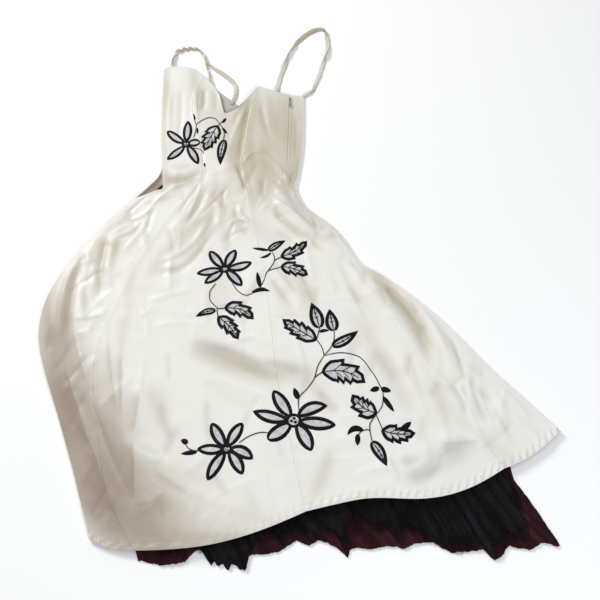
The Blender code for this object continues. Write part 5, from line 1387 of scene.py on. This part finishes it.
zipLook = {"tapeHalf": 0.0065, "coilPitch": 0.0016, "coilHalf": 0.0011}
print("zip")
zipRows = np.linspace(0.02, 2.97, 90)
seam = alongCurve(dressShape["sections"][:, zipSeam], zipRows)
tapeTop = clothHeight(seam[:, 0], seam[:, 1], plain=True) - clothLook["thickness"] - 0.0021
across = np.linspace(-1, 1, 8)
tapePoints = np.zeros((len(seam), 8, 3))
tapePoints[..., :2] = seam[:, None]
tapePoints[..., 0] += zipLook["tapeHalf"] * across
tapePoints[..., 2] = tapeTop[:, None]
zipTape = makePiece("zip_tape_cloth", [grid(tapePoints, True)], [tapeCloth], "zip_tape")
thicken(zipTape, 0.0005)
run = distances(seam)
at = np.arange(0.022, run[-1] - 0.004, zipLook["coilPitch"])
coilPlan = np.stack([np.interp(at, run, seam[:, k]) for k in range(2)], -1)
bars = []
ring = np.radians([0, 90, 180, 270])
for k, (x, y) in enumerate(coilPlan):
    points = np.zeros((3, 4, 3))
    reach = np.linspace(-1, 1, 3) * zipLook["coilHalf"]
    points[..., 0] = x + reach[:, None]
    points[..., 1] = y + 0.00035 * np.cos(ring) + 0.0001 * (k % 2)
    points[..., 2] = np.interp(at[k], run, tapeTop) + 0.0005 + 0.00035 * np.sin(ring)
    bars.append(grid(points, False, True))
makePiece("zip_coil", bars, [tapeCloth])
for node in ("zip_slider", "zip_pull_tab"):
    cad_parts[node].data.materials.clear()
    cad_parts[node].data.materials.append(zipMetal)


stageLook = {
    "floor": (0.92, 0.92, 0.92), "floorHalf": 12.0, "floorDrop": 0.0004,
    "sky": (0.97, 0.98, 1.0), "skyStrength": 0.40,
    "key": {"at": (-3.4, 3.0, 2.6), "size": 1.5, "power": 205.0, "colour": (1.0, 0.985, 0.955)},
    "top": {"at": (0.3, 0.9, 3.2), "size": 1.2, "power": 14.0, "colour": (1.0, 1.0, 1.0)},
    "fill": {"at": (1.5, -2.9, 2.2), "size": 1.6, "power": 60.0, "colour": (0.90, 0.955, 1.0)},
    "camera": {"at": (0.0187, -0.7494, 1.4728), "aim": (0.0187, -0.1243, 0.0), "lens": 40.8},
}
print("stage")
half, drop = stageLook["floorHalf"], stageLook["floorDrop"]
floorMesh = bpy.data.meshes.new("floor")
floorMesh.from_pydata([(x * half, y * half, -drop) for x, y in ((-1, -1), (1, -1), (1, 1), (-1, 1))], [],
                      [(0, 1, 2, 3)])
floor = bpy.data.objects.new("floor", floorMesh)
bpy.context.scene.collection.objects.link(floor)
floorFinish = newMaterial("paleFloor", 0.85, specular=0.2)
floorFinish.node_tree.nodes["Principled BSDF"].inputs["Base Color"].default_value = (*stageLook["floor"], 1)
floorMesh.materials.append(floorFinish)


def aimed(item, at, aim):
    item.location = at
    item.rotation_mode = "QUATERNION"
    back = np.array(at) - np.array(aim)
    item.rotation_quaternion = Vector(back).to_track_quat("Z", "Y")


for name in ("key", "top", "fill"):
    look = stageLook[name]
    light = bpy.data.lights.new(name, "AREA")
    light.shape = "DISK"
    light.size = look["size"]
    light.energy = look["power"]
    light.color = look["colour"]
    lamp = bpy.data.objects.new(name, light)
    bpy.context.scene.collection.objects.link(lamp)
    aimed(lamp, look["at"], (0.0, -0.1, 0.0))

world = bpy.data.worlds.new("studio")
world.use_nodes = True
sky = world.node_tree.nodes["Background"]
sky.inputs["Color"].default_value = (*stageLook["sky"], 1)
sky.inputs["Strength"].default_value = stageLook["skyStrength"]
bpy.context.scene.world = world

look = stageLook["camera"]
camera = bpy.data.objects.new("camera", bpy.data.cameras.new("camera"))
camera.data.lens = look["lens"]
camera.data.sensor_width = 36.0
bpy.context.scene.collection.objects.link(camera)
aimed(camera, look["at"], look["aim"])
bpy.context.scene.camera = camera
bpy.context.scene.view_settings.view_transform = "Standard"
